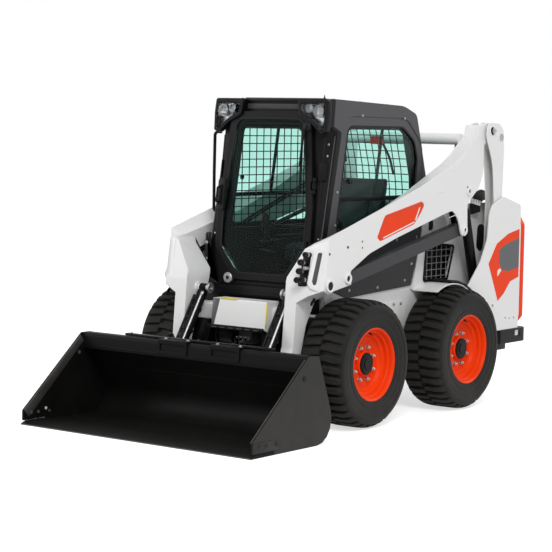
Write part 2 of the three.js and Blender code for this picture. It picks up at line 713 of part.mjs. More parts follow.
function armOutline() {
  return [
    ...fromFront([[-347, 1109, 25], [-268, 1164, 50], [293, 1334, 400]]),
    ...fromRear([
      [-341, 1450, 300], [-75, 1556, 150], [37, 1632, 60], [179, 1762, 60], [211, 1818, 20],
      [458, 1842, 50], [515, 1790, 40], [450, 1728, 30], [400, 1690, 20], [395, 1514, 80],
      [349, 1416, 40], [203, 1305, 30], [212, 1140, 20], [205, 1103, 30], [140, 1100, 30],
      [100, 1205, 60], [30, 1272, 60], [-93, 1246, 60],
    ]),
    ...fromFront([[450, 1117, 300], [158, 1034, 200], [-45, 935, 20], [-28, 900, 25],
      [-30, 856, 5], [-200, 830, 20], [-266, 812, 30], [-384, 846, 10]]),
  ];
}

function legOutline() {
  const [py, pz] = bucketPivot;
  return [
    ...fromFront([[-340, 1125, 10], [-384, 850, 60], [-414, 478, 80]]),
    [py - 50, pz + 60, 20], [py - 50, pz - 35, 40], [py + 30, pz - 48, 40], [py + 60, pz + 40, 30],
    ...fromFront([[-335, 440, 80], [-285, 620, 60], [-175, 800, 40], [-155, 870, 20], [-155, 1180]]),
  ];
}

function liftArm(side) {
  const outerPlate = prismX(armOutline(), side * armOuter, side * (armOuter - armPlate));
  const innerPlate = prismX(armOutline(), side * armInner, side * (armInner + armPlate));
  const boxPart = prismX(armOutline(), side * armInner, side * armOuter);
  const behindCore = box(side * (armInner + armPlate), side * (armOuter - armPlate),
    rearAxle - 722 + cutOfCore, rearAxle + 600, 900, 2000);
  const besidePivot = box(side * (armInner + armPlate), side * (armOuter - armPlate),
    frontAxle - 150, frontAxle + 60, 780, 950);
  const topFlange = prismX(fromRear([
    [-100, 1546], [-75, 1555, 100], [37, 1631, 60], [179, 1761, 60], [211, 1814, 10], [330, 1822],
    [330, 1808], [222, 1798], [192, 1755, 60], [46, 1617, 60], [-75, 1535],
  ]), side * armInner, side * armOuter);
  const upper = joined(cut(boxPart, behindCore, besidePivot), outerPlate, topFlange);
  const innerCut = box(side * (armInner - 1), side * (armInner + armPlate + 1),
    frontAxle - 150, frontAxle + 60, 780, 950);
  const legFront = prismY([
    [side * 449, 1180], [side * armOuter, 1180], [side * armOuter, 838],
    [side * legOuter, 760], [side * legOuter, 130], [side * legInner, 130], [side * legInner, 905],
  ], frontAxle - 620, frontAxle - 150);
  const leg = prismX(legOutline(), side * legInner, side * armOuter).intersect(legFront);
  const pinBoss = pinX(controlRear, 38, side * armOuter, side * (armOuter + 6));
  const controlPin = pinX(controlRear, 20, side * armInner, side * armOuter);
  const tubeEnd = pinX([frontAxle - 266, 862], 40, side * (armOuter - 40), side * (armOuter + 12));
  const tiltPin = pinX(tiltHead, tiltSize.pin, side * (legInner + 10), side * (tiltPlane - 40));
  const tiltBoss = pinX(tiltHead, 34, side * (legInner + 10), side * (tiltPlane + 38));
  const pivotBore = pinX(bucketPivot, 22 + pinClearance, side * (legInner - 1), side * (legOuter + 1));
  const whole = joined(cut(upper, innerCut), leg, controlPin, pinBoss, tubeEnd, tiltPin, tiltBoss);
  return cut(whole, pivotBore);
}

for (const [hand, side] of sides) {
  add(`lift_arm_${hand}`, liftArm(side), white);
}

add('arm_cross_tube', pinX([rearAxle + 168, 1735], 46,
  -armInner + seatGap, armInner - seatGap, 32), white);

// The front cross member between the legs, with the step plate in its middle.
function armStep() {
  const beam = prismX(fromFront([
    [-275, 600, 12], [-275, 700, 12], [-215, 712, 12], [-215, 600, 12],
  ]), -legInner + seatGap, legInner - seatGap);
  const step = prismX(fromFront([
    [-352, 572, 8], [-338, 742, 8], [-215, 742, 8], [-215, 560, 8], [-330, 560, 8],
  ]), -205, 205);
  return joined(beam, step);
}
add('arm_step', armStep(), white);

// ---------------------------------------------------------------- links

function rearLink(side) {
  const shape = [
    [linkTop[0] - 62, linkTop[1] - 40, 45], [linkTop[0] - 58, linkTop[1] + 58, 55],
    ...fromRear([[560, 1835, 60], [612, 1790, 60], [622, 1660, 200], [612, 1352]]),
    [linkFoot[0] + 55, linkFoot[1] + 60, 40], [linkFoot[0] + 52, linkFoot[1] - 52, 50],
    [linkFoot[0] - 52, linkFoot[1] - 52, 50],
    ...fromRear([[505, 900], [509, 1328], [484, 1560, 200]]),
  ];
  const outside = panelInner - plateGap;
  const inside = armInner - plateGap;
  const plates = joined(
    prismX(shape, side * outside, side * (outside - linkPlate)),
    prismX(shape, side * inside, side * (inside - linkPlate)));
  const web = prismX(fromRear([
    [608, 1720], [616, 1650], [606, 1352], [611, 720], [597, 720], [592, 1352], [602, 1650], [595, 1720],
  ]), side * (inside - 2), side * (outside - 2));
  const pinHead = pinX(linkTop, 30, side * (outside - 2), side * (outside + 5));
  const foot = pinX(linkFoot, 46, side * (inside - linkPlate), side * outside);
  const bore = pinX(linkFoot, 25 + pinClearance, side * (inside - 30), side * (outside + 30));
  return cut(joined(plates, web, foot, pinHead), bore);
}

function controlLink(side) {
  const inside = armInner + armPlate + plateGap;
  const outside = armOuter - armPlate - plateGap;
  const [fy, fz] = controlFront;
  const [ry, rz] = controlRear;
  const bar = prismX([
    [fy - 40, fz - 30, 30], [fy - 40, fz + 38, 36], [fy + 60, fz + 50, 30],
    [ry - 40, rz + 36, 30], [ry + 40, rz + 38, 36], [ry + 38, rz - 38, 36],
    [ry - 40, rz - 44, 30], [fy + 60, fz - 30, 30],
  ], side * inside, side * outside);
  return cut(bar,
    pinX(controlFront, 20 + pinClearance, side * (inside - 1), side * (outside + 1)),
    pinX(controlRear, 20 + pinClearance, side * (inside - 1), side * (outside + 1)));
}

for (const [hand, side] of sides) {
  add(`rear_link_${hand}`, rearLink(side), white);
  add(`control_link_${hand}`, controlLink(side), charcoal);
}

// ---------------------------------------------------------------- hydraulic cylinders

// A barrel with its eye on the first pin, and an open bore for the rod.
function barrel(x, from, to, size) {
  const { eye, pin, tube, bore, gland, half } = size;
  const body = barBetween(x, from, to, tube, eye - 6, gland);
  const head = barBetween(x, from, to, tube + 3, gland - 45, gland + 4);
  const lug = pinX(from, eye, x - half, x + half);
  const bores = [
    barBetween(x, from, to, bore, eye + 12, gland + 10),
    pinX(from, pin + pinClearance, x - half - 1, x + half + 1),
  ];
  return cut(joined(body, head, lug), ...bores);
}

// The rod that slides in the barrel and ends in its own eye on the second pin.
function rod(x, from, to, size) {
  const reach = Math.hypot(to[0] - from[0], to[1] - from[1]);
  const { eye, pin, bore, half, rodStart } = size;
  const bar = barBetween(x, from, to, bore - boreClearance, rodStart, reach - eye + 8);
  const end = pinX(to, eye, x - half, x + half);
  return cut(joined(bar, end), pinX(to, pin, x - half - 1, x + half + 1));
}

for (const [hand, side] of sides) {
  add(`lift_barrel_${hand}`, barrel(side * armMiddle, liftFoot, liftEye, liftSize), black);
  add(`lift_rod_${hand}`, rod(side * armMiddle, liftFoot, liftEye, liftSize), steel);
  add(`tilt_barrel_${hand}`, barrel(side * tiltPlane, tiltHead, tiltEye, tiltSize), black);
  add(`tilt_rod_${hand}`, rod(side * tiltPlane, tiltHead, tiltEye, tiltSize), steel);
}

// ---------------------------------------------------------------- bucket and its carrier

// The bucket back is a straight sheet from the corner on the ground up to its top edge.
const backFoot = [frontAxle - 510, wheelFloor - 2];
const backTop = [frontAxle - 709, 509];
const backLength = Math.hypot(backTop[0] - backFoot[0], backTop[1] - backFoot[1]);
const backUp = [(backTop[0] - backFoot[0]) / backLength, (backTop[1] - backFoot[1]) / backLength];
// A point along the bucket back and behind it.
const onBack = (along, behind) => [
  backFoot[0] + backUp[0] * along + backUp[1] * behind,
  backFoot[1] + backUp[1] * along - backUp[0] * behind,
];
const bucketSheet = 10;
const sidePlate = 12;
const heelRadius = 140;
const lipDepth = 92;             // the top edge is folded forward and then down
const lipDrop = 92;
const edgePlate = 210;           // depth of the cutting edge, from front to back

function bucketShell() {
  const half = bucketWidth / 2;
  const edgeBack = cuttingEdge + edgePlate + seatGap;
  const sheet = prismX([
    [edgeBack, 0], [...backFoot.slice(0, 1), 0, heelRadius], [...backTop, 6],
    [backTop[0] - lipDepth, backTop[1] + 4, 24],
    [backTop[0] - lipDepth, backTop[1] - lipDrop],
    [backTop[0] - lipDepth + bucketSheet, backTop[1] - lipDrop],
    [backTop[0] - lipDepth + bucketSheet, backTop[1] - 8, 14],
    [backTop[0] - 10, backTop[1] - 12, 3], [...innerCorner(), heelRadius - bucketSheet],
    [edgeBack, bucketSheet],
  ], -half + 1, half - 1);
  const plate = (side) => prismX([
    [cuttingEdge + 14, 24], [cuttingEdge + 14, 88], [backTop[0] - lipDepth - 8, backTop[1] + 4, 20],
    [...backTop, 6],
    [backFoot[0], 0, heelRadius], [edgeBack, 0], [edgeBack, 24],
  ], side * half, side * (half - sidePlate));
  return joined(sheet, plate(1), plate(-1));
}

// The inner corner of the sheet, one thickness inside the floor and the back.
function innerCorner() {
  const slope = backUp[0] / backUp[1];
  const shift = bucketSheet / backUp[1];
  return [backFoot[0] - shift + slope * bucketSheet, bucketSheet];
}

function cuttingEdgeBar() {
  const half = bucketWidth / 2;
  return prismX([
    [cuttingEdge, 0], [cuttingEdge + edgePlate, 0], [cuttingEdge + edgePlate, 22],
    [cuttingEdge + 40, 22], [cuttingEdge, 6],
  ], -half, half);
}

// The carrier that the bucket hangs on, with ears for the arm pivots and the rods.
function quickAttach() {
  const reach = 560;
  const plate = prismX([
    onBack(160, seatGap), onBack(500, seatGap), onBack(500, 12), onBack(160, 12),
  ], -reach, reach);
  const middleHole = prismY([
    [-250, 240, 20], [-250, 430, 20], [250, 430, 20], [250, 240, 20],
  ], frontAxle - 800, frontAxle - 500);
  const [py, pz] = bucketPivot;
  const [ty, tz] = tiltEye;
  const bothEars = [
    [py + 42, pz - 10, 40], [py + 10, pz - 45, 40], onBack(165, 10), onBack(440, 10),
    [ty + 10, tz + 55, 30], [ty + 36, tz + 20, 30],
  ];
  const pivotEar = [
    [py + 42, pz - 10, 40], [py + 10, pz - 45, 40], onBack(165, 10), onBack(340, 10),
    [py + 30, pz + 50, 40],
  ];
  const rodEar = [
    [ty + 36, tz - 20, 30], [ty - 10, tz - 60, 20], onBack(260, 10), onBack(440, 10),
    [ty + 10, tz + 55, 30], [ty + 36, tz + 20, 30],
  ];
  let carrier = cut(plate, middleHole);
  for (const [, side] of sides) {
    carrier = joined(carrier,
      prismX(rodEar, side * (tiltPlane - 38), side * (tiltPlane - 27)),
      prismX(bothEars, side * (tiltPlane + 27), side * (legInner - 5)),
      prismX(pivotEar, side * (legOuter + 5), side * (legOuter + 19)),
      pinX(bucketPivot, 22, side * (tiltPlane + 28), side * (legOuter + 19)),
      pinX(tiltEye, 26, side * (tiltPlane - 42), side * (tiltPlane - 37)));
  }
  return carrier;
}

add('quick_attach', quickAttach(), black);
add('bucket_shell', bucketShell(), black);
add('bucket_cutting_edge', cuttingEdgeBar(), castIron);

export default loader;
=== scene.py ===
"""Skid steer loader: the looks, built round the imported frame. Sizes are in millimetres."""
import json
import math

import bmesh
import bpy
from mathutils import Matrix, Vector


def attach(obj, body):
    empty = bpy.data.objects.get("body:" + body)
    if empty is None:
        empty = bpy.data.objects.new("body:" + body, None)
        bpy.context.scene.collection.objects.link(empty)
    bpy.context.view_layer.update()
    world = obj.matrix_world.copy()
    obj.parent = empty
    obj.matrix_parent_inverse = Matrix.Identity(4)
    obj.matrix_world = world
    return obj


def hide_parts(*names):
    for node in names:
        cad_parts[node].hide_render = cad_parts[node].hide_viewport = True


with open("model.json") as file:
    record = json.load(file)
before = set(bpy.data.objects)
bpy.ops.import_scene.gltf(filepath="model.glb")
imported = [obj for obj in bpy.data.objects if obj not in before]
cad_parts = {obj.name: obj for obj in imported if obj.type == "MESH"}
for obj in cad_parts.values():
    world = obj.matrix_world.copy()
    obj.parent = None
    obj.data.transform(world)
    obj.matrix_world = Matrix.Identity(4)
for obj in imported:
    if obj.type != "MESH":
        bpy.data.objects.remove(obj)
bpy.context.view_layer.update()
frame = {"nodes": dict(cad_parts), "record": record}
MM = 0.001
SIDES = (("left", 1), ("right", -1))
scene = bpy.context.scene
scene.view_settings.view_transform = "Standard"


# ---------------------------------------------------------------- nodes

def fill(tree, target, inputs):
    """Sets a node's inputs: a value is kept as it is, a socket or a node is linked."""
    for name, value in inputs.items():
        if isinstance(value, bpy.types.Node):
            value = value.outputs[0]
        if isinstance(value, bpy.types.NodeSocket):
            tree.links.new(value, target.inputs[name])
        else:
            target.inputs[name].default_value = value


def node(tree, kind, inputs=None, **settings):
    """A new node with its own settings and inputs."""
    new = tree.nodes.new("ShaderNode" + kind)
    for name, value in settings.items():
        setattr(new, name, value)
    fill(tree, new, inputs or {})
    return new


def empty_tree(owner):
    owner.use_nodes = True
    owner.node_tree.nodes.clear()
    return owner.node_tree


# ---------------------------------------------------------------- camera, floor and light

AZIMUTH, DROP, ROLL = (math.radians(angle) for angle in (37.266, 3.829, 1.043))
EYE = (7.0572, -9.7881, 1.8417)


def camera():
    """The photograph's point of view, turned by three angles."""
    ahead = Vector((-math.sin(AZIMUTH) * math.cos(DROP), math.cos(AZIMUTH) * math.cos(DROP),
                    -math.sin(DROP)))
    level = Vector((math.cos(AZIMUTH), math.sin(AZIMUTH), 0))
    above = level.cross(ahead)
    right = math.cos(ROLL) * level + math.sin(ROLL) * above
    up = math.cos(ROLL) * above - math.sin(ROLL) * level
    data = bpy.data.cameras.new("camera")
    data.sensor_width, data.lens = 36, 124.46
    data.shift_x, data.shift_y = 0.0305, -0.0545
    data.clip_end = 100
    obj = bpy.data.objects.new("camera", data)
    rows = [(right[i], up[i], -ahead[i], EYE[i]) for i in range(3)]
    obj.matrix_world = Matrix(rows + [(0, 0, 0, 1)])
    scene.collection.objects.link(obj)
    scene.camera = obj


def area_lamp(name, place, target, size, watts):
    data = bpy.data.lights.new(name, "AREA")
    data.shape, data.size, data.energy = "DISK", size, watts
    obj = bpy.data.objects.new(name, data)
    obj.location = place
    obj.rotation_euler = (Vector(target) - Vector(place)).to_track_quat("-Z", "Y").to_euler()
    scene.collection.objects.link(obj)


def seen_rays(tree):
    """1 for rays from the camera, in reflections and through glass; 0 for the light on things."""
    path = node(tree, "LightPath").outputs
    total = path["Is Camera Ray"]
    for name in ("Is Glossy Ray", "Is Transmission Ray"):
        total = node(tree, "Math", {0: total, 1: path[name]}, operation="MAXIMUM").outputs[0]
    return total


def sky():
    """A bluish light from all round, which is plain white where it is seen."""
    scene.world = bpy.data.worlds.new("studio")
    tree = empty_tree(scene.world)
    light = node(tree, "Background", {"Strength": 0.58, "Color": (0.97, 0.985, 1, 1)})
    white = node(tree, "Background", {"Strength": 1.0, "Color": (1, 1, 1, 1)})
    node(tree, "OutputWorld",
         {0: node(tree, "MixShader", {0: seen_rays(tree), 1: light, 2: white})})


def white_floor():
    """A diffuse floor that glows just enough to be seen white."""
    material = bpy.data.materials.new("floor_white")
    tree = empty_tree(material)
    place = node(tree, "TexCoord").outputs["Object"]
    ramp = node(tree, "ValToRGB", {0: node(tree, "TexNoise", {"Scale": 0.6, "Vector": place})})
    for element, grey in zip(ramp.color_ramp.elements, (0.70, 0.74)):
        element.color = (grey, grey, grey, 1)
    gain = node(tree, "Math", {0: seen_rays(tree), 1: 0.62}, operation="MULTIPLY")
    glow = node(tree, "Emission", {"Strength": gain})
    total = node(tree, "AddShader", {0: node(tree, "BsdfDiffuse", {0: ramp}), 1: glow})
    node(tree, "OutputMaterial", {0: total})
    mesh = bpy.data.meshes.new("floor")
    reach = 40
    corners = [(-reach, -reach, 0), (reach, -reach, 0), (reach, reach, 0), (-reach, reach, 0)]
    mesh.from_pydata(corners, [], [(0, 1, 2, 3)])
    mesh.materials.append(material)
    floor = bpy.data.objects.new("floor", mesh)
    floor.location.z = -0.0006
    scene.collection.objects.link(floor)


camera()
sky()
area_lamp("key", (7.5, -7.5, 9.5), (0, -0.2, 0.8), 5.0, 900)
area_lamp("fill", (-9, -7, 5), (0, 0, 0.9), 6.0, 330)
area_lamp("back", (3, 9, 7), (0, 0.5, 1), 5.0, 260)
white_floor()


# ---------------------------------------------------------------- materials

def srgb(*channels):
    """The linear colour of three screen values from 0 to 255."""
    levels = (v / 255 for v in channels)
    return (*(v / 12.92 if v <= 0.04045 else ((v + 0.055) / 1.055) ** 2.4 for v in levels), 1.0)


def dusty(tree, place, tint, dust):
    """Lays dust over a colour, in clouds that thicken towards the ground."""
    height = node(tree, "SeparateXYZ", {0: place}).outputs["Z"]
    low = node(tree, "MapRange", {"From Min": 0.9, "From Max": 0.0, "To Max": dust, "Value": height})
    cloud = node(tree, "TexNoise", {"Scale": 9, "Detail": 8, "Vector": place})
    amount = node(tree, "Math", {0: low, 1: cloud}, operation="MULTIPLY")
    mix = node(tree, "Mix", {"Factor": amount, "A": tint, "B": srgb(150, 143, 132)},
               data_type="RGBA")
    return mix.outputs["Result"]


def surface(name, colour, roughness, metallic=0.0, mottle=0.05, patch=2.5, spread=0.08,
            grain=700, bump=0.06, depth=0.0004, dust=0.0, coat=0.0, level=0.5):
    """A finish whose colour and roughness drift in patches, with a fine grain in its relief."""
    material = bpy.data.materials.new(name)
    material.use_nodes = True
    tree = material.node_tree
    place = node(tree, "TexCoord").outputs["Object"]
    patches = node(tree, "TexNoise", {"Scale": patch, "Detail": 5, "Vector": place})
    ramp = node(tree, "ValToRGB", {0: patches})
    for element, spot, gain in zip(ramp.color_ramp.elements, (0.3, 0.7), (1 - mottle, 1 + mottle)):
        element.position = spot
        element.color = (*(min(1.0, c * gain) for c in colour[:3]), 1)
    tint = ramp.outputs[0]
    fine = node(tree, "TexNoise", {"Scale": grain, "Detail": 2, "Vector": place})
    fill(tree, tree.nodes["Principled BSDF"], {
        "Metallic": metallic, "Coat Weight": coat, "Coat Roughness": 0.12,
        "Specular IOR Level": level,
        "Base Color": dusty(tree, place, tint, dust) if dust else tint,
        "Roughness": node(tree, "MapRange", {"Value": patches, "To Min": max(0.02, roughness - spread),
                                             "To Max": min(1.0, roughness + spread)}),
        "Normal": node(tree, "Bump", {"Strength": bump, "Distance": depth, "Height": fine})})
    return material


def glazing(name, colour):
    """A clear, thin sheet that hardly bends the light."""
    material = surface(name, colour, 0.02, mottle=0.015, patch=1.2, spread=0.01, grain=3,
                       bump=0.02, depth=0.002, level=0.3)
    fill(material.node_tree, material.node_tree.nodes["Principled BSDF"],
         {"Transmission Weight": 1.0, "IOR": 1.16})
    return material


WHITE = surface("paint_white", srgb(226, 225, 224), 0.38, mottle=0.015, coat=0.15, grain=420,
                bump=0.05, dust=0.12)
CHARCOAL = surface("paint_charcoal", srgb(68, 67, 70), 0.5, mottle=0.06, level=0.3, grain=520,
                   bump=0.12)
DARK = surface("paint_dark", srgb(52, 52, 54), 0.55, mottle=0.07, level=0.25, grain=520, bump=0.12)
BLACK = surface("paint_black", srgb(12, 12, 13), 0.42, mottle=0.12, level=0.12, grain=480,
                bump=0.1)
BUCKET = surface("paint_bucket", srgb(10, 10, 10), 0.5, mottle=0.16, patch=3.2, level=0.08,
                 grain=300, bump=0.15, dust=0.02)
PLATE = surface("paint_plate", srgb(29, 29, 28), 0.5, mottle=0.14, patch=3.2, level=0.18,
                grain=300, bump=0.15, dust=0.08)
ORANGE = surface("paint_orange", srgb(234, 60, 0), 0.45, level=0.15, grain=420, bump=0.05)
TREAD = surface("rubber_tread", srgb(23, 23, 22), 0.82, mottle=0.14, patch=7, level=0.2,
                grain=260, bump=0.3, depth=0.0008, dust=0.12)
RUBBER = surface("rubber_tyre", srgb(14, 14, 14), 0.62, mottle=0.14, patch=7, level=0.18,
                 grain=260, bump=0.3, depth=0.0008, dust=0.08)
STEEL = surface("steel_bright", srgb(196, 198, 202), 0.22, metallic=1.0, patch=14, grain=900,
                bump=0.05)
ZINC = surface("steel_zinc", srgb(168, 168, 166), 0.4, metallic=0.9, mottle=0.12, patch=22,
               bump=0.1)
CAST = surface("cast_iron", srgb(70, 71, 73), 0.62, metallic=0.5, mottle=0.14, patch=18,
               grain=200, bump=0.35, depth=0.0012)
EDGE = surface("steel_edge", srgb(78, 76, 74), 0.5, metallic=0.6, mottle=0.25, patch=9, spread=0.15,
               grain=150, bump=0.3, depth=0.001)
PLASTIC = surface("plastic_black", srgb(19, 19, 20), 0.55, mottle=0.08, level=0.2, grain=340,
                  bump=0.35, depth=0.0006)
HOSE = surface("rubber_hose", srgb(19, 19, 20), 0.6, mottle=0.1, level=0.22, grain=600, bump=0.4)
GLASS = glazing("glass_tinted", (0.667, 0.914, 0.855, 1))
LENS = glazing("glass_lens", (0.95, 0.96, 0.96, 1))
REFLECTOR = surface("lamp_reflector", srgb(168, 170, 173), 0.18, metallic=1.0, mottle=0.1,
                    patch=30, grain=240, bump=0.3, depth=0.002)
YELLOW = surface("paint_yellow", srgb(225, 200, 50), 0.45, grain=420)
RED = surface("lens_red", srgb(190, 22, 20), 0.2, mottle=0.08, patch=30, grain=120, bump=0.5,
              depth=0.0015)
WIRE = surface("wire_grey", srgb(126, 126, 126), 0.5, mottle=0.08, patch=20, grain=600)
GREY = surface("decal_grey", srgb(70, 71, 74), 0.4, grain=500)
VINYL = surface("seat_vinyl", srgb(34, 35, 37), 0.6, mottle=0.12, patch=8, level=0.35, grain=420,
                bump=0.5, depth=0.0008)


# ---------------------------------------------------------------- solids in millimetres

def arc(centre, start, end, turn, count):
    """Points that sweep from one spoke of a circle to another."""
    shares = ((math.sin(turn * (1 - k / count)) / math.sin(turn),
               math.sin(turn * k / count) / math.sin(turn)) for k in range(count + 1))
    return [centre + start * a + end * b for a, b in shares]


def rounded(corners, step=15):
    """Points of an outline from (a, b) or (a, b, radius) corners, with arcs at the radii."""
    points = []
    for i, corner in enumerate(corners):
        here = Vector(corner[:2])
        if len(corner) < 3 or not corner[2]:
            points.append(tuple(here))
            continue
        before = (Vector(corners[i - 1][:2]) - here).normalized()
        after = (Vector(corners[(i + 1) % len(corners)][:2]) - here).normalized()
        half = math.acos(max(-1, min(1, before.dot(after)))) / 2
        radius, turn = corner[2], math.pi - 2 * half
        centre = here + (before + after).normalized() * radius / math.sin(half)
        start, end = (here + way * radius / math.tan(half) - centre for way in (before, after))
        count = max(1, math.ceil(math.degrees(turn) / step))
        points += map(tuple, arc(centre, start, end, turn, count))
    return points


def rect(a0, a1, b0, b1, radius=0):
    """The corners of a rectangle."""
    return [(a0, b0, radius), (a1, b0, radius), (a1, b1, radius), (a0, b1, radius)]


def mirrored(corners):
    """A symmetrical outline from the corners of its right half."""
    return corners + [(-corner[0], *corner[1:]) for corner in reversed(corners)]


def bevelled(bm, width, segments=2, angle=30, clamp=True):
    """The same solid, with the edges sharper than an angle bevelled."""
    if width:
        sharp = [e for e in bm.edges
                 if len(e.link_faces) == 2 and e.calc_face_angle(0) > math.radians(angle)]
        bmesh.ops.bevel(bm, geom=sharp, offset=width, offset_type="OFFSET", segments=segments,
                        profile=0.5, affect="EDGES", clamp_overlap=clamp)
    return bm


def at(axis, a, b, t):
    """A point of an outline (a, b), some way t along the axis that the outline faces."""
    return {"x": (t, a, b), "y": (a, t, b), "z": (a, b, t)}[axis]


def walled(bm, rings, ends=True):
    """Joins rings of vertices into the wall of a solid, and closes its ends."""
    if ends:
        bm.faces.new(rings[0])
        bm.faces.new(rings[-1])
    for a, b in zip(rings, rings[1:]):
        for k in range(len(a)):
            n = (k + 1) % len(a)
            face = list(dict.fromkeys((a[k], a[n], b[n], b[k])))
            if len(face) > 2:
                bm.faces.new(face)
    bmesh.ops.recalc_face_normals(bm, faces=bm.faces)
    return bm


def prism(corners, axis, ta, tb, bevel=0.0, segments=2, step=15):
    """An outline pushed along an axis, with its edges bevelled."""
    points = rounded(corners, step)
    bm = bmesh.new()
    rings = [[bm.verts.new(at(axis, a, b, t)) for a, b in points] for t in (ta, tb)]
    return bevelled(walled(bm, rings), bevel, segments)


def block(x, y, z, bevel=2.0, segments=2):
    """A bevelled block between (low, high) pairs."""
    return prism(rect(*x, *y), "z", *z, bevel, segments)


def circle(bm, middle, radius, u, v, steps):
    """A ring of vertices in the plane of u and v."""
    return [bm.verts.new(middle + radius * (math.cos(t) * u + math.sin(t) * v))
            for t in (2 * math.pi * k / steps for k in range(steps))]


def lathe(profile, origin, direction, steps=48, closed=False):
    """(radius, distance) pairs turned about a direction through an origin."""
    w = Vector(direction).normalized()
    u = w.orthogonal().normalized()
    v = w.cross(u)
    bm = bmesh.new()
    rings = []
    for radius, distance in profile:
        middle = Vector(origin) + w * distance
        rings.append([bm.verts.new(middle)] * steps if radius < 0.01
                     else circle(bm, middle, radius, u, v, steps))
    return walled(bm, rings + rings[:1] if closed else rings, ends=False)


def rod(a, b, radius, chamfer=2.0, steps=24):
    """A round bar with chamfered ends."""
    length = (Vector(b) - Vector(a)).length
    return lathe([(0, 0), (radius - chamfer, 0), (radius, chamfer), (radius, length - chamfer),
                  (radius - chamfer, length), (0, length)], a, Vector(b) - Vector(a), steps)


def plug(radius, height, depth, place, direction, steps):
    """A flat round mark or plug that stands a little out of a surface."""
    return lathe([(0, height), (radius, height), (radius, depth), (0, depth)], place, direction,
                 steps)


def curve_points(points, per=8):
    """A smooth chain through the given points."""
    pts = [Vector(p) for p in points]
    pts = [2 * pts[0] - pts[1]] + pts + [2 * pts[-1] - pts[-2]]
    chain = []
    for i in range(1, len(pts) - 2):
        p0, p1, p2, p3 = pts[i - 1:i + 3]
        for k in range(per):
            t = k / per
            chain.append(0.5 * (2 * p1 + (p2 - p0) * t + (2 * p0 - 5 * p1 + 4 * p2 - p3) * t * t
                                + (3 * p1 - p0 - 3 * p2 + p3) * t ** 3))
    chain.append(pts[-2])
    return chain


def tube(points, radius, sides=12, smooth=True):
    """A round tube along a chain of points, closed at both ends."""
    chain = curve_points(points) if smooth else [Vector(p) for p in points]
    bm = bmesh.new()
    side = None
    rings = []
    for i, p in enumerate(chain):
        ahead = (chain[min(i + 1, len(chain) - 1)] - chain[max(i - 1, 0)]).normalized()
        side = ahead.orthogonal() if side is None else side - ahead * side.dot(ahead)
        side.normalize()
        rings.append(circle(bm, p, radius, side, ahead.cross(side), sides))
    return walled(bm, rings)


def pipe(points, radius, corner, sides=16):
    """A round tube along straight stretches, with its corners rounded."""
    points = [Vector(p) for p in points]
    chain = points[:1]
    for a, b, c in zip(points, points[1:], points[2:]):
        before, after = (a - b).normalized(), (c - b).normalized()
        half = before.angle(after) / 2
        if half > math.radians(88):
            chain.append(b)
            continue
        reach = min(corner / math.tan(half), 0.48 * (a - b).length, 0.48 * (c - b).length)
        centre = b + (before + after).normalized() * reach / math.cos(half)
        turn = math.pi - 2 * half
        chain += arc(centre, b + before * reach - centre, b + after * reach - centre, turn,
                     max(2, math.ceil(math.degrees(turn) / 15)))
    return tube(chain + points[-1:], radius, sides, smooth=False)


# ---------------------------------------------------------------- pieces

class Pile(list):
    """The solids of one piece, each with its material."""

    def put(self, material, *solids):
        self.extend((solid, material) for solid in solids)

    def bolts(self, places, normal, size, material=ZINC):
        """Hexagon heads on washers, standing on a surface."""
        for place in places:
            self.put(material,
                     lathe([(0, size * 0.2), (size, size * 0.2), (size, size * 0.75),
                            (size * 0.82, size * 0.9), (0, size * 0.9)], place, normal, 6),
                     lathe([(0, 0), (size * 1.35, 0), (size * 1.35, size * 0.14),
                            (size * 1.2, size * 0.2), (0, size * 0.2)], place, normal, 20))


def piece(name, solids, body, replaces=(), angle=36, weighted=False):
    """One object from (bmesh, material) pairs that rides on a body."""
    mesh = bpy.data.meshes.new(name)
    whole = bmesh.new()
    materials = []
    for solid, material in solids:
        if material not in materials:
            materials.append(material)
        for face in solid.faces:
            face.material_index = materials.index(material)
        scratch = bpy.data.meshes.new("scratch")
        solid.to_mesh(scratch)
        solid.free()
        whole.from_mesh(scratch)
        bpy.data.meshes.remove(scratch)
    bmesh.ops.scale(whole, vec=(MM, MM, MM), verts=whole.verts)
    whole.to_mesh(mesh)
    whole.free()
    for material in materials:
        mesh.materials.append(material)
    mesh.shade_smooth()
    mesh.set_sharp_from_angle(angle=math.radians(angle))
    obj = bpy.data.objects.new(name, mesh)
    scene.collection.objects.link(obj)
    if weighted:
        obj.modifiers.new("normals", "WEIGHTED_NORMAL").keep_sharp = True
        settle(obj)
    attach(obj, body)
    if replaces:
        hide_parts(*replaces)
    return obj


def settle(obj):
    """Keeps what the modifiers make as the object's own mesh."""
    bpy.context.view_layer.update()
    graph = bpy.context.evaluated_depsgraph_get()
    mesh = bpy.data.meshes.new_from_object(obj.evaluated_get(graph), depsgraph=graph)
    obj.modifiers.clear()
    obj.data = mesh


def refined(name, width, shape):
    """The CAD node's own shape with its sharp edges bevelled, then touched up by shape."""
    bm = bmesh.new()
    bm.from_mesh(frame["nodes"][name].data)
    bmesh.ops.scale(bm, vec=(1 / MM, 1 / MM, 1 / MM), verts=bm.verts)
    bmesh.ops.remove_doubles(bm, verts=bm.verts, dist=0.02)
    bmesh.ops.dissolve_limit(bm, angle_limit=math.radians(0.8), verts=bm.verts, edges=bm.edges)
    bevelled(bm, width, angle=32, clamp=False)
    bmesh.ops.triangulate(bm, faces=bm.faces)
    if shape:
        shape(bm)
        bmesh.ops.remove_doubles(bm, verts=bm.verts, dist=0.3)
        bmesh.ops.dissolve_degenerate(bm, edges=bm.edges, dist=0.05)
        bmesh.ops.triangulate(bm, faces=bm.faces)
    return bm


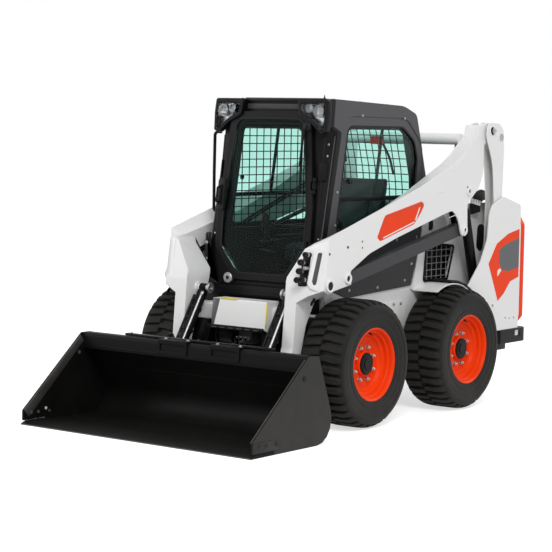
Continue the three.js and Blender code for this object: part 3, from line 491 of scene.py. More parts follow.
def reskin(name, material, width=2.5, shape=None):
    """Stands a bevelled copy in for a CAD node, on the body that holds the node."""
    bodies = frame["record"]["behaviour"]["bodies"]
    body = next(body for body, names in bodies.items() if name in names)
    return piece("skin_" + name, [(refined(name, width, shape), material)], body,
                 replaces=(name,), weighted=True)


# ---------------------------------------------------------------- sizes shared with the frame

FRONT, REAR, AXLE = -361.0, 722.0, 387.0
WHEEL_PLANE, TYRE = 624.0, 385.0
CAB, ARM_OUT, ARM_IN, PANEL = 425.0, 606.0, 504.0, 645.0


# ---------------------------------------------------------------- wheels

LUGS, RIBS, STUDS = 38, 36, 8
LUG_STATIONS = ((3, 3, 15, 385), (30, 0, 19, 385), (58, 4, 17, 385), (84, 5, 21, 384.4),
                (112, 8, 20, 380), (131, 9, 20, 371), (143, 9, 17, 356))
CARCASS = [(207.4, -104), (207.4, 130), (222.5, 131), (223, 141), (231, 144.5), (243, 143),
           (248, 145.5), (256, 146), (262, 144), (272, 146.5), (296, 149.6), (318, 149.6),
           (320, 151.6), (326, 152.4), (345, 150.6), (349, 148.6), (354, 146.5), (358, 138),
           (361, 126), (363, 108), (364, 60), (364, 20), (363, 6), (363, -6), (364, -20),
           (364, -60), (363, -108), (361, -126), (358, -138), (354, -146), (326, -149.5),
           (296, -149.5), (262, -146), (236, -144), (223, -141), (222.5, -117), (222.5, -104.7)]
RIM = [(0, 92), (38, 92), (42, 90), (46, 86), (62, 84), (70, 80), (74, 74), (77, 56), (80, 54),
       (150, 54), (157, 55), (163, 59), (168, 66), (172, 76), (176, 79), (184, 80), (187, 82),
       (189, 88), (190, 104), (193, 108), (199, 109), (202, 112), (203.5, 120), (205, 130),
       (209, 136), (214, 141), (219, 142.5), (221.6, 140), (222, 134), (220, 131.2), (207, 131),
       (206.6, 60), (206.6, -104), (221.8, -105), (221.8, -114), (216, -116), (200, -114),
       (196, -100), (190, 30), (180, 34), (95, 34), (90, 28), (90, -58), (86, -60), (0, -60)]
HUB = [(0, 97), (33, 97), (36, 95), (37, 92), (46, 93), (58, 91), (66, 86), (69, 78), (70, 58),
       (74, 55), (74, 53.5), (0, 53.5)]


def lug(sign, turn, side):
    """One tread bar: stations are (across, along, half width, radius of the top)."""
    bm = bmesh.new()
    rings = []
    for across, along, half, top in LUG_STATIONS:
        foot = min(358 if across < 120 else 350 - (across - 120) * 0.3, top - 10)
        outline = ((-half - 3, foot), (-half, top - 4), (-half + 4, top), (half - 4, top),
                   (half, top - 4), (half + 3, foot))
        turns = [(turn + (along + shift) / TYRE, r) for shift, r in outline]
        rings.append([bm.verts.new((side * sign * across, r * math.cos(t), r * math.sin(t)))
                      for t, r in turns])
    return walled(bm, rings)


def tyre(centre, side):
    solids = Pile()
    solids.put(RUBBER, lathe(CARCASS, centre, (side, 0, 0), 120, closed=True))
    for k in range(LUGS):
        for sign, shift in ((1, 0), (-1, 0.5)):
            bar = lug(sign, 2 * math.pi * (k + shift) / LUGS, side)
            bmesh.ops.translate(bar, vec=centre, verts=bar.verts)
            solids.put(TREAD, bar)
    for k in range(RIBS):
        a = 2 * math.pi * k / RIBS
        place = centre + Vector((side * 149.2, 307 * math.cos(a), 307 * math.sin(a)))
        rib = block((-0.8, 0.8), (-7, 7), (-1.2, 1.2), 0.4, 1)
        bmesh.ops.rotate(rib, matrix=Matrix.Rotation(a, 3, "X"), verts=rib.verts)
        bmesh.ops.translate(rib, vec=place, verts=rib.verts)
        solids.put(RUBBER, rib)
    return solids


def hub(centre, side):
    """The hub's cap, the wheel's nuts and the tyre's valve."""
    out = (side, 0, 0)
    solids = Pile()
    solids.put(BLACK, lathe(HUB, centre, out, 48))
    for k in range(STUDS):
        a = 2 * math.pi * (k + 0.5) / STUDS
        place = centre + Vector((side * 54, 104 * math.cos(a), 104 * math.sin(a)))
        solids.put(ZINC, lathe([(0, 0), (14, 0), (13, 3.5), (12, 5), (0, 5)], place, out, 24),
                   lathe([(0, 5), (12, 5), (12, 16), (9.5, 19), (0, 19)], place, out, 6),
                   lathe([(0, 19), (6.5, 19), (6.5, 25), (5, 27), (0, 27)], place, out, 16))
    solids.put(PLASTIC, lathe([(0, 0), (6, 0), (6, 14), (4, 16), (4, 30), (0, 31)],
                              centre + Vector((side * 96, 0, 188)), (side * 0.9, 0, -0.45), 14))
    return solids


for end, axle in (("front", FRONT), ("rear", REAR)):
    for hand, side in SIDES:
        body, centre = f"{end}_{hand}_wheel", Vector((side * WHEEL_PLANE, axle, AXLE))
        piece(f"tyre_lugs_{end}_{hand}", tyre(centre, side), body,
              replaces=(f"tyre_{end}_{hand}",), angle=34)
        piece(f"rim_{end}_{hand}", [(lathe(RIM, centre, (side, 0, 0), 96), ORANGE)], body,
              replaces=(f"wheel_{end}_{hand}",), angle=30)
        piece(f"hub_{end}_{hand}", hub(centre, side), body, angle=32)


# ---------------------------------------------------------------- sheet metal of the frame

ARM_TOP = ((-708, 1109), (-629, 1164), (-68, 1334), (381, 1450), (647, 1556),
           (759, 1632), (901, 1762), (933, 1818), (1180, 1842))
TOP_BACK = ((381, 0), (560, 50), (700, 96), (900, 124), (1180, 0))
TOP_DROP = ((-708, 0), (-629, 14), (-450, 26), (150, 24), (560, 0))
TOP_TILT = ((-708, 0.25), (-650, 0.3), (-560, 0.62), (150, 0.62), (560, 0))
KNEE_FRONT = ((478, -775), (850, -745), (1109, -708))
KNEE_CUT, CUT_DEPTH = 545, 78
CORNER_BACK = ((1050, 0), (1735, 84), (1765, 84), (1800, 0))
CORNER = 372


def scored(bm, axis, *values):
    """Adds edges to a solid on planes across an axis."""
    for value in values:
        normal = [float(axis == k) for k in range(3)]
        bmesh.ops.bisect_plane(bm, geom=bm.verts[:] + bm.edges[:] + bm.faces[:],
                               plane_co=[value * n for n in normal], plane_no=normal)


def read_off(points, value):
    """The height of a line through (place, height) points at a place."""
    if value <= points[0][0]:
        return points[0][1]
    for (a, low), (b, high) in zip(points, points[1:]):
        if value <= b:
            return low + (high - low) * (value - a) / (b - a)
    return points[-1][1]


def arm_shape(bm):
    """The arm's top falls away to the inside, and the knee's outer front corner is cut off."""
    scored(bm, 0, KNEE_CUT, -KNEE_CUT)
    for v in bm.verts:
        across, (x, y, z) = abs(v.co.x), v.co
        below = read_off(ARM_TOP, y) - z
        if y < 560 and below < 32:
            v.co.z -= read_off(TOP_DROP, y) + read_off(TOP_TILT, y) * (ARM_OUT - across)
            if y < -500 and across < 500:
                v.co.x += math.copysign(46, x)
        if 381 < y < 1180 and below < 38:
            v.co.y += read_off(TOP_BACK, y)
        if across > KNEE_CUT + 1 and y < -500 and z > 700 and (y < -668 or z > 905):
            share = (across - KNEE_CUT) / (ARM_OUT - KNEE_CUT)
            v.co.y = max(y, read_off(KNEE_FRONT, z) + CUT_DEPTH * share)


def link_shape(bm):
    """The rear link is a shallow channel behind its outer plate."""
    for v in bm.verts:
        deep = max(0, 622 - abs(v.co.x))
        v.co.x += math.copysign(deep * 0.52, v.co.x)


def corner_back(across, z):
    """How far the cab's front corner draws back from its front plane."""
    return read_off(CORNER_BACK, z) * max(0, abs(across) - CORNER) / (CAB - CORNER)


def frame_shape(bm):
    """The cab's front corners draw back towards the top, below the headlamps."""
    scored(bm, 0, CORNER, -CORNER)
    scored(bm, 2, *(z for z, back in CORNER_BACK))
    for v in bm.verts:
        v.co.y += corner_back(v.co.x, v.co.z)


def repaint(obj, material, choose):
    """Gives the chosen faces of a piece another material."""
    obj.data.materials.append(material)
    for face in obj.data.polygons:
        if choose(face):
            face.material_index = 1


for hand, side in SIDES:
    for name in ("upright", "rear_side_panel"):
        reskin(f"{name}_{hand}", WHITE)
    reskin(f"rear_link_{hand}", WHITE, shape=link_shape)
    reskin(f"lift_arm_{hand}", WHITE, shape=arm_shape)
    reskin(f"side_cover_{hand}", DARK, 2)
    reskin(f"control_link_{hand}", DARK)
    reskin(f"control_console_{hand}", PLASTIC, 5)
reskin("main_frame", WHITE)
reskin("arm_step", WHITE, 2)
reskin("engine_block", CAST, 8)
reskin("rear_bumper", BLACK, 4)
reskin("rear_door", WHITE, 4)
reskin("hood", CHARCOAL, 3)
reskin("cab_floor", PLASTIC, 3)
reskin("cab_roof", CHARCOAL, 3)
reskin("cab_rear", CHARCOAL, 3)
reskin("rear_glass", GLASS, 1)
reskin("cab_front_frame", BLACK, 3, shape=frame_shape)
reskin("front_door_frame", BLACK, 3)
reskin("front_door_glass", GLASS, 1)
reskin("quick_attach", BLACK, 2)
repaint(reskin("bucket_shell", BUCKET, 2), PLATE,
        lambda face: abs(face.center.x) > 0.8615)
repaint(reskin("bucket_cutting_edge", BUCKET, 2), EDGE,
        lambda face: face.normal.y < -0.4)


# ---------------------------------------------------------------- tubes and cylinders

def eye_ring(bore, radius, half, place):
    """The eye at a cylinder's end, round its pin."""
    return lathe([(bore, -half), (radius - 3, -half), (radius, 3 - half), (radius, half - 3),
                  (radius - 3, half), (bore, half)], place, (1, 0, 0), 36, closed=True)


def cylinder(kind, plane, first, second, size):
    """A barrel and its rod on each side, between two pins that are given as (y, z)."""
    eye, pin, outer, bore, gland, half, start = size
    for hand, side in SIDES:
        a, b = Vector((side * plane, *first)), Vector((side * plane, *second))
        way, reach = (b - a).normalized(), (b - a).length
        over = Vector((0, -way.z, way.y))
        tail = reach - eye + 6
        barrel, bar = Pile(), Pile()
        barrel.put(BLACK, lathe([
            (bore, gland + 3), (outer + 1, gland + 3), (outer + 3, gland + 1),
            (outer + 3, gland - 40), (outer, gland - 44), (outer, eye + 6), (outer - 4, eye - 2),
            (outer - 12, eye - 6), (bore - 1, eye - 6), (bore - 1, eye + 12), (bore, eye + 13)],
            a, way, 36, closed=True), eye_ring(pin + 0.6, eye, half, a))
        barrel.put(ZINC, lathe([(0, -10), (11, -10), (11, 9), (8, 12), (0, 12)],
                               a + way * (gland - 22) + over * (outer + 8), over, 6))
        piece(f"barrel_{kind}_{hand}", barrel, f"{kind}_barrels",
              replaces=(f"{kind}_barrel_{hand}",), angle=34)
        bar.put(STEEL, lathe([(0, start), (bore - 1, start), (bore - 1, tail), (0, tail)], a, way, 36))
        bar.put(BLACK, eye_ring(pin, eye, half, b))
        piece(f"rod_{kind}_{hand}", bar, f"{kind}_rods",
              replaces=(f"{kind}_rod_{hand}",), angle=34)


TILT_PLANE, TILT_HEAD, TILT_FOOT = 330, (FRONT - 271, 792), (FRONT - 549, 358)
cylinder("lift", ARM_OUT - 51, (REAR + 458, 560), (REAR + 214, 1392),
         (38, 22, 34, 26, 740, 26, 100))
cylinder("tilt", TILT_PLANE, TILT_HEAD, TILT_FOOT, (26, 18, 32, 21, 400, 24, 106))

TUBE_END = ARM_IN - 0.3
piece("cross_tube", [(rod((-TUBE_END, REAR + 262, 1728), (TUBE_END, REAR + 262, 1728), 37, 1, 48),
                      WHITE)], "lift_arms", replaces=("arm_cross_tube",))
GRIP = ((0.3, 1752), (52, 1752), (54, 1500), (52, 1250), (0.3, 1250))
piece("cab_handle", [(pipe([(-CAB - out, FRONT - 5, z) for out, z in GRIP], 10, 32), BLACK)],
      "chassis", replaces=("grab_handle",))
LAP, PIVOT = 345, (REAR - 82, 1300)
piece("lap_bar", [(pipe([(-384.7, *PIVOT), (-LAP, *PIVOT), (-LAP, FRONT + 420, 1150),
                         (LAP, FRONT + 420, 1150), (LAP, *PIVOT), (384.7, *PIVOT)], 14, 30),
                   BLACK)], "seat_bar", replaces=("seat_bar",))


# ---------------------------------------------------------------- plates with openings

def inset(corners, amount):
    """An outline drawn in towards its middle by an amount."""
    count = len(corners)
    area = sum(a[0] * b[1] - b[0] * a[1] for a, b in zip(corners, corners[1:] + corners[:1]))
    turn = 1 if area > 0 else -1
    moved = []
    for i, corner in enumerate(corners):
        here, before, after = (Vector(corners[k % count][:2]) for k in (i, i - 1, i + 1))
        d1, d2 = (here - before).normalized(), (after - here).normalized()
        n1, n2 = Vector((-d1.y, d1.x)) * turn, Vector((-d2.y, d2.x)) * turn
        mid = (n1 + n2).normalized()
        new = here + mid * amount / max(0.3, mid.dot(n1))
        radius = max(4, corner[2] - amount) if len(corner) > 2 and corner[2] else 0
        moved.append((new.x, new.y, radius))
    return moved


def pierced(outer, hole, axis, ta, tb, bevel=2.0):
    """A plate with one opening: its faces are triangulated between the two outlines."""
    bm = bmesh.new()
    loops = []
    for corners in (outer, hole):
        points = rounded(corners, 12)
        for t in (ta, tb):
            loops.append([bm.verts.new(at(axis, a, b, t)) for a, b in points])
    edges = [[bm.edges.new((loop[i], loop[(i + 1) % len(loop)])) for i in range(len(loop))]
             for loop in loops]
    for low, high in ((0, 2), (1, 3)):
        bmesh.ops.triangle_fill(bm, edges=edges[low] + edges[high], use_beauty=True)
    walled(bm, loops[:2], ends=False)
    return bevelled(walled(bm, loops[2:], ends=False), bevel)


def ring(outline, width, axis, ta, tb, bevel=1.0):
    """A closed strip of even width inside an outline."""
    return pierced(outline, inset(outline, width), axis, ta, tb, bevel)


def inside_spans(points, index, value):
    """Where a line of constant coordinate lies inside a polygon."""
    hits = []
    for p, q in zip(points, points[1:] + points[:1]):
        if (p[index] - value) * (q[index] - value) < 0:
            f = (value - p[index]) / (q[index] - p[index])
            hits.append(p[1 - index] + f * (q[1 - index] - p[1 - index]))
    hits.sort()
    return list(zip(hits[::2], hits[1::2]))


def lattice(corners, pitches, place, wire=3.4):
    """Crossed wires filling an outline; place turns (a, b, rise) into a point in space."""
    points = rounded(corners, 20)
    solids = []
    for index, pitch in enumerate(pitches):
        low, high = (pick(p[index] for p in points) for pick in (min, max))
        value = low + pitch * 0.5
        while value < high - wire:
            for start, end in inside_spans(points, index, value):
                stations = (start + (end - start) * k / 4 for k in range(5))
                rise = wire * (index * 2 - 1) * 0.8
                chain = [place(*((value, s) if index == 0 else (s, value)), rise) for s in stations]
                solids.append(tube(chain, wire, 6, smooth=False))
            value += pitch
    return solids


# ---------------------------------------------------------------- cab shell

LEAN = 102 / 1150
CAB_TOP, CAB_FOOT, CAB_BACK, CAB_IN = 1965.0, 800.3, REAR - 10, 385.0


def front_at(z):
    """The cab's front face at a height."""
    return FRONT - 117 + LEAN * (z - 815)


SIDE_LIGHT = [(-312, 1150, 45), (-190, 1808, 62), (430, 1806, 90), (566, 1716, 90),
              (606, 1600, 60), (590, 1480), (545, 1150, 60)]
SIDE_SKIN = [(front_at(CAB_FOOT) + 44, CAB_FOOT), (CAB_BACK, CAB_FOOT), (CAB_BACK, 1250),
             (REAR - 25, 1487), (REAR - 148, 1884, 60), (REAR - 300, 1935, 200),
             (front_at(CAB_TOP) + 44, CAB_TOP, 8), (front_at(1800) + 44, 1800),
             (front_at(1765) + 128, 1765, 12), (front_at(1735) + 128, 1735, 60),
             (front_at(1050) + 44, 1050, 100)]
SIDE_RECESS = [(front_at(1090) + 76, 1090, 20), (-226, 1866, 110), (462, 1858, 150),
               (646, 1690, 120), (654, 1560, 60), (655, 1090, 20)]


def window_trim(side):
    """The seals, bars, bolts and knob round a side window."""
    trim = Pile()
    outer, inner = side * (CAB - 11.8), side * (CAB - 18.5)
    trim.put(HOSE, ring(inset(SIDE_LIGHT, -1), 15, "x", outer, side * (CAB - 4), 1.5))
    trim.put(BLACK,
             prism([(-300, 1343), (-294, 1369), (578, 1369), (574, 1343)], "x", outer,
                   side * (CAB - 7), 1.5),
             ring(inset(SIDE_LIGHT, -1), 26, "x", side * (CAB_IN + 4), inner, 1.5),
             prism([(118, 1369), (196, 1806), (226, 1806), (148, 1369)], "x", side * (CAB - 24),
                   inner, 1.5))
    for depth, places in ((0.2, ((-44, 1868), (432, 1856))),
                          (5, ((618, 1440), (-292, 1402), (-306, 1200), (628, 1180)))):
        trim.bolts([(side * (CAB - depth), *place) for place in places], (side, 0, 0), 6)
    trim.put(PLASTIC, lathe([(0, 0), (15, 0), (16, 2), (16, 9), (13, 13), (0, 14)],
                            (side * (CAB - 12), -156, 1465), (side, 0, 0), 24))
    return trim


for hand, side in SIDES:
    inner, middle = side * (CAB_IN + 3), side * (CAB - 5)
    walls = Pile()
    walls.put(CHARCOAL, pierced(SIDE_SKIN, SIDE_LIGHT, "x", inner, middle, 2),
              pierced(SIDE_SKIN, SIDE_RECESS, "x", middle, side * CAB, 2.4))
    walls.put(PLASTIC, pierced(inset(SIDE_SKIN, 6), inset(SIDE_LIGHT, -4), "x", side * CAB_IN,
                               inner, 0.8))
    piece(f"cab_skin_{hand}", walls, "chassis", replaces=(f"cab_side_{hand}",),
          weighted=True)
    pane = prism(inset(SIDE_LIGHT, 0.5), "x", side * (CAB - 18), side * (CAB - 12), 0.8, 1, 12)
    piece(f"side_pane_{hand}", [(pane, GLASS)], "chassis",
          replaces=(f"side_glass_{hand}",))
    piece(f"window_trim_{hand}", window_trim(side), "chassis")

screen = Pile()
screen.put(BLACK, *lattice(inset(SIDE_LIGHT, 4), (74, 50),
                           lambda a, b, rise: (-CAB_IN - 9 - rise * 0.5, a, b)))
piece("side_screen_right", screen, "chassis", angle=80)


def rear_wall_at(z):
    """The inner face of the cab's leaning rear wall."""
    if z < 1250:
        return CAB_BACK - 34
    if z < 1480:
        return CAB_BACK - 34 - (z - 1250) * 17 / 230
    return REAR - 61 - (z - 1480) * 118 / 375


screen = Pile()
screen.put(BLACK, *lattice(rect(-310, 310, 1270, 1800, 40), (50, 50),
                           lambda a, b, rise: (a, rear_wall_at(b) + rise, b)))
screen.put(CHARCOAL, prism([(rear_wall_at(1262) - 6, 1262), (rear_wall_at(1300) - 6, 1300),
                            (rear_wall_at(1300), 1300), (rear_wall_at(1262), 1262)], "x",
                           -330, 330, 1.5))
piece("rear_screen", screen, "chassis", angle=80)


# ---------------------------------------------------------------- cab front

OFF_FRONT = (0, -1, LEAN)
HEADLAMP_FOOT = 1745


def on_front(a, z, ahead):
    """A point on the leaning cab front, some way ahead of it."""
    return Vector((a, front_at(z) + corner_back(a, z) - ahead, z))


def front_plate(corners, far, near, bevel=2.0, hole=None):
    """A plate that lies on the leaning cab front, between two distances ahead of it."""
    bm = (pierced(corners, hole, "y", -near, -far, bevel) if hole
          else prism(corners, "y", -near, -far, bevel, step=12))
    top = max(v.co.z for v in bm.verts)
    for v in bm.verts:
        back = corner_back(v.co.x, v.co.z) if top < HEADLAMP_FOOT else 0
        v.co.y += front_at(v.co.z) + back
    return bm


DOOR_LIGHT = mirrored([(254, 1839, 96), (316, 1300, 160), (316, 1051, 60), (182, 891, 50)])
SEAL_LINE = mirrored([(262, 1846, 70), (322, 1300, 160), (322, 1046, 60), (185, 884, 50)])


def corner_fill(side):
    """The dark border that rounds the door glass at a top corner."""
    bow = [p for p in rounded(DOOR_LIGHT, 10) if p[1] > 1720 and p[0] * side > 100]
    bow.sort(key=lambda p: p[0] * side)
    return front_plate(bow + [(side * 260, 1843)], 12, 25, 0.6)


trim = Pile()
trim.put(BLACK, corner_fill(1), corner_fill(-1))
trim.put(HOSE, front_plate(SEAL_LINE, 31.5, 35, 1.2, inset(SEAL_LINE, 9)))
# latch and handle
trim.put(PLASTIC, front_plate([(-352, 1270, 12), (-352, 1462, 12), (-296, 1462, 12),
                               (-302, 1270, 12)], 31, 62, 6))
trim.put(BLACK, front_plate([(-338, 1300, 8), (-338, 1430, 8), (-312, 1430, 8), (-314, 1300, 8)],
                            61, 72, 4),
         pipe([on_front(-332, 1318, 70), on_front(-332, 1318, 92), on_front(-330, 1412, 92),
               on_front(-330, 1412, 70)], 6, 16, 12))
# wiper
trim.put(PLASTIC, lathe([(0, 0), (26, 0), (26, 18), (20, 26), (12, 28), (12, 40), (0, 42)],
                        on_front(292, 1792, 34), OFF_FRONT, 28))
trim.put(BLACK, tube([on_front(292, 1792, 68), on_front(276, 1690, 66), on_front(262, 1560, 58)],
                     6, 10))
trim.put(HOSE, tube([on_front(258, 1790, 42), on_front(262, 1600, 40), on_front(270, 1400, 42)],
                    5, 8))
trim.put(BLACK, front_plate([(252, 1796), (262, 1390), (276, 1388), (268, 1796)], 45, 52, 2))
piece("door_trim", trim, "front_door")

POD = [(206, 1964, 8), (424, 1964, 16), (431, 1880, 30), (427, 1766, 12), (392, 1752, 16),
       (318, 1816, 40), (222, 1864, 30)]
LAMP = [(232, 1930, 14), (400, 1938, 20), (412, 1880, 20), (410, 1780, 8), (392, 1770, 8),
        (326, 1836, 40), (240, 1884, 22)]


def headlamp(solids, side):
    """A pod round the cab's top corner, with two bowls behind a three-cornered lens."""
    pod, lamp = ([(side * a, *rest) for a, *rest in outline] for outline in (POD, LAMP))
    solids.put(BLACK, front_plate(pod, -2, 46, 7, lamp))
    solids.put(REFLECTOR, front_plate(inset(lamp, -2), 0, 8, 1))
    for a, z, r in ((366, 1886, 34), (296, 1904, 22)):
        foot = on_front(side * a, z, 10)
        solids.put(REFLECTOR, lathe([(r, 34), (r * 0.9, 20), (r * 0.6, 6), (r * 0.3, 0), (0, 0),
                                     (0, -2), (r + 2, -2), (r + 2, 34)], foot, OFF_FRONT, 28,
                                    closed=True))
        solids.put(LENS, lathe([(0, 0), (r * 0.34, 0), (r * 0.34, 16), (r * 0.2, 22), (0, 24)],
                               foot, OFF_FRONT, 16))
    solids.put(LENS, front_plate(inset(lamp, -1), 42, 50, 3))


def pillar(solids, side):
    """Edge strips, bolts and a cover on a front pillar: the thin light grey metal strip is a painted
    highlight for the shine along the door seal, beside a dark rubber strip.
    """
    # the light grey cast metal strip at 419 is a painted highlight that stands for the shine on the
    # dark door seal; the rubber strip at 384 is a dark seal strip
    for a, z0, z1, r, material in ((419, 1110, 1740, 3.2, CAST), (384, 1060, 1735, 4, HOSE)):
        strip = ((z1, 4), ((z0 + z1) / 2, 5), (z0, 4))
        solids.put(material, tube([on_front(side * a, z, ahead) for z, ahead in strip], r, 8))
    solids.bolts([on_front(side * 398, z, 0) for z in (1690, 1620, 1560, 1180, 1120)], OFF_FRONT, 6)
    solids.put(BLACK, front_plate([(side * 372, 1470, 8), (side * 372, 1580, 8),
                                   (side * 408, 1580, 8), (side * 408, 1470, 8)], -1, 14, 4))


front = Pile()
for side in (1, -1):
    headlamp(front, side)
    pillar(front, side)
front.put(DARK, front_plate(rect(-206, 206, 1900, 1932, 6), -2, 5, 2))
front.put(BLACK, front_plate(rect(-424, 424, 1944, 1963), -20, 12, 5),
          front_plate(rect(-330, 330, 812, 838, 10), -1, 10, 3))
# the aerial's foot
front.put(PLASTIC, lathe([(0, 0), (9, 0), (9, 5), (5, 8), (3, 21), (2, 24), (0, 25)],
                         (330, -318, CAB_TOP - 1), (0, 0, 1), 16))
piece("cab_front_gear", front, "chassis")


def roof_at(y):
    return CAB_TOP - (y + 332) * 30 / 754


roof = Pile()
for y0, y1 in ((-300, -120), (-90, 90), (120, 300)):
    pad = prism(rect(-300, 300, y0, y1, 20), "z", -3, 7, 3)
    for v in pad.verts:
        v.co.z += roof_at(v.co.y)
    roof.put(CHARCOAL, pad)
roof.bolts([(x, y, roof_at(y)) for x in (350, -350) for y in (-250, 40, 340)], (0, 0, 1), 8)
piece("roof_panels", roof, "chassis")


# ---------------------------------------------------------------- operator's place

SEAT, LEVEL = FRONT + 620, 930.0
STUFFING, SWELL_FRAMES = 0.8, 20


def cushion(name, replaced, corners, half, cap):
    """A stuffed pad from an outline in (y, z): it swells until the cap, then keeps that shape."""
    core = prism(corners, "x", -half, half, 10, 2, 20)
    obj = piece(name, [(core, VINYL)], "chassis", replaces=(replaced,), angle=60)
    remesh = obj.modifiers.new("even", "REMESH")
    remesh.mode = "VOXEL"
    remesh.voxel_size = 0.006
    settle(obj)
    rest = [v.co.copy() for v in obj.data.vertices]
    cloth = obj.modifiers.new("swell", "CLOTH")
    cloth.settings.use_pressure = True
    cloth.settings.uniform_pressure_force = 4
    cloth.settings.effector_weights.gravity = 0
    cloth.settings.quality = 5
    cloth.point_cache.frame_start = 1
    cloth.point_cache.frame_end = SWELL_FRAMES
    for step in range(1, SWELL_FRAMES + 1):
        scene.frame_set(step)
    settle(obj)
    scene.frame_set(1)
    for v, was in zip(obj.data.vertices, rest):
        move = v.co - was
        if move.length > cap * MM:
            v.co = was + move.normalized() * cap * MM
    obj.modifiers.new("fine", "SUBSURF").levels = 1
    settle(obj)
    obj.data.shade_smooth()


cushion("seat_base_pad", "seat_cushion",
        [(SEAT - 228, LEVEL + 14, 22), (SEAT - 236, LEVEL + 108, 40), (SEAT + 186, LEVEL + 90, 22),
         (SEAT + 186, LEVEL + 12, 12)], 222, 16)
cushion("seat_back_pad", "seat_back",
        [(SEAT + 214, LEVEL + 52, 18), (SEAT + 214, LEVEL + 128, 20), (SEAT + 274, 1476, 34),
         (SEAT + 332, 1476, 30), (SEAT + 290, LEVEL + 52, 18)], 212, 14)
seams = Pile()
for x in (-118, 118):
    for points in (((-232, 60), (-226, 122), (-120, 128), (60, 119), (176, 104)),
                   ((206, 130), (232, 370), (262, 522))):
        seams.put(HOSE, tube([(x, SEAT + y, LEVEL + z) for y, z in points], 3, 8))
piece("seat_piping", seams, "chassis")

gear = Pile()
for side in (1, -1):
    stick = side * 285
    gear.put(PLASTIC, tube([(stick, FRONT + 292, 1092), (stick, FRONT + 284, 1130),
                            (stick - side * 2, FRONT + 282, 1168)], 20, 16),
             lathe([(0, 0), (18, 0), (25, 14), (27, 44), (25, 72), (18, 88), (8, 96), (0, 97)],
                   (stick - side * 3, FRONT + 283, 1140), (-side * 0.1, -0.12, 1), 24))
    gear.put(HOSE, lathe([(0, 0), (46, 0), (44, 6), (32, 14), (37, 20), (28, 30), (32, 36), (24, 46),
                          (22, 52), (0, 52)], (stick, FRONT + 300, 1034), (0, -0.12, 1), 28))
    gear.put(ORANGE, block((stick - 12, stick + 12), (FRONT + 254, FRONT + 262), (1196, 1216), 3))
    gear.put(HOSE, block((side * 250, side * 322), (FRONT + 420, FRONT + 700), (1068, 1094), 10))
# seat belt
gear.put(ORANGE, tube([(210, SEAT + 196, LEVEL + 70), (238, SEAT + 130, LEVEL + 116),
                       (244, SEAT + 60, LEVEL + 90)], 9, 8))
gear.put(BLACK, tube([(318, SEAT + 216, 1500), (330, SEAT + 150, 1600), (300, SEAT + 110, 1700)],
                     8, 8))
gear.put(ORANGE, block((212, 312), (SEAT + 92, SEAT + 112), (1690, 1742), 8))
gear.put(PLASTIC, block((-190, 190), (SEAT - 210, SEAT + 190), (LEVEL - 30, LEVEL + 2), 8),
         block((-340, 340), (FRONT - 58, FRONT - 30), (812, 838), 6))
piece("operator_gear", gear, "chassis")


# ---------------------------------------------------------------- lift arms

def knee_at(z):
    """The front face of an arm's knee."""
    return FRONT - 384 + (z - 850) * 37 / 259


def disc_boss(solids, place, side, outer, inner, height):
    """A round boss with a dark bore on an upright plate."""
    out = (side, 0, 0)
    solids.put(WHITE, lathe([(inner, height - 2), (inner + 2, height), (outer - 3, height),
                             (outer, height - 3), (outer, -2), (inner, -2)], place, out, 40,
                            closed=True))
    solids.put(HOSE, plug(inner + 0.5, 1.4, -1, place, out, 32))


BADGE = [(-126, 1128, 14), (-88, 1106, 14), (288, 1198, 24), (358, 1262, 20), (404, 1318, 16),
         (368, 1338, 14), (-44, 1262, 40)]
BADGE_MARKS = ([(292, 1222), (340, 1300), (352, 1302), (308, 1222)],
               [(-62, 1128), (288, 1215), (290, 1208), (-60, 1121)])
BOSSES = ((12, FRONT - 266, 862, 40, 26, 6), (2, FRONT - 70, 895, 34, 18, 9),
          (0, REAR + 220, 1390, 30, 13, 9), (6, REAR + 169, 1140, 22, 11, 5))
WELDS = (((REAR - 60, 1530), (REAR + 40, 1606), (REAR + 178, 1742), (REAR + 222, 1796)),
         ((REAR - 210, 1368), (REAR - 130, 1392), (REAR - 92, 1388)),
         ((REAR - 20, 1226), (REAR + 96, 1248), (REAR + 150, 1268)))
ARM_LINE = ((FRONT - 120, 1000), (FRONT + 20, 1040), (FRONT + 220, 1110), (FRONT + 420, 1190),
            (FRONT + 700, 1290), (REAR + 100, 1470), (REAR + 250, 1640))

for hand, side in SIDES:
    x, out, inner = side * ARM_OUT, (side, 0, 0), side * ARM_IN
    arm = Pile()
    arm.put(ORANGE, prism(BADGE, "x", x - side, x + side * 1.2, 0.4, 1))
    arm.put(GREY, ring(inset(BADGE, 13), 3, "x", x, x + side * 1.8, 0.3))
    arm.put(WHITE, *(prism(mark, "x", x + side * 1.4, x + side * 2.6, 0.3, 1)
                     for mark in BADGE_MARKS))
    for y, z, r in ((-622, 1050, 8), (-435, 1083, 9), (-283, 1111, 6), (-282, 1074, 6)):
        arm.put(HOSE, lathe([(0, 1.4), (r - 1, 1.4), (r, 0.6), (r, -2), (0, -2)], (x, y, z), out, 20))
    for proud, y, z, *sizes in BOSSES:
        disc_boss(arm, (x + side * proud, y, z), side, *sizes)
    arm.bolts([(x, REAR + 200, 1418)], out, 7)
    slot = [(-752, 748, 12), (-724, 748, 12), (-662, 790, 12), (-690, 792, 12)]
    arm.put(HOSE, prism(slot, "x", side * 548, side * 553, 0.5, 1))
    for seam in WELDS:
        arm.put(WHITE, tube([(x + side * 0.2, y + (read_off(TOP_BACK, y) if z > 1500 else 0), z)
                             for y, z in seam], 2.2, 6))
    for y, z in ((FRONT + 20, 1050), (FRONT + 220, 1120), (FRONT + 420, 1200)):
        arm.put(ZINC, block((inner - side * 14, inner), (y - 22, y + 22), (z - 10, z + 10), 3))
    for lift in (0, 20):
        arm.put(BLACK, tube([(inner - side * 8, y, z + lift) for y, z in ARM_LINE], 7, 10))
    piece(f"arm_gear_{hand}", arm, "lift_arms")

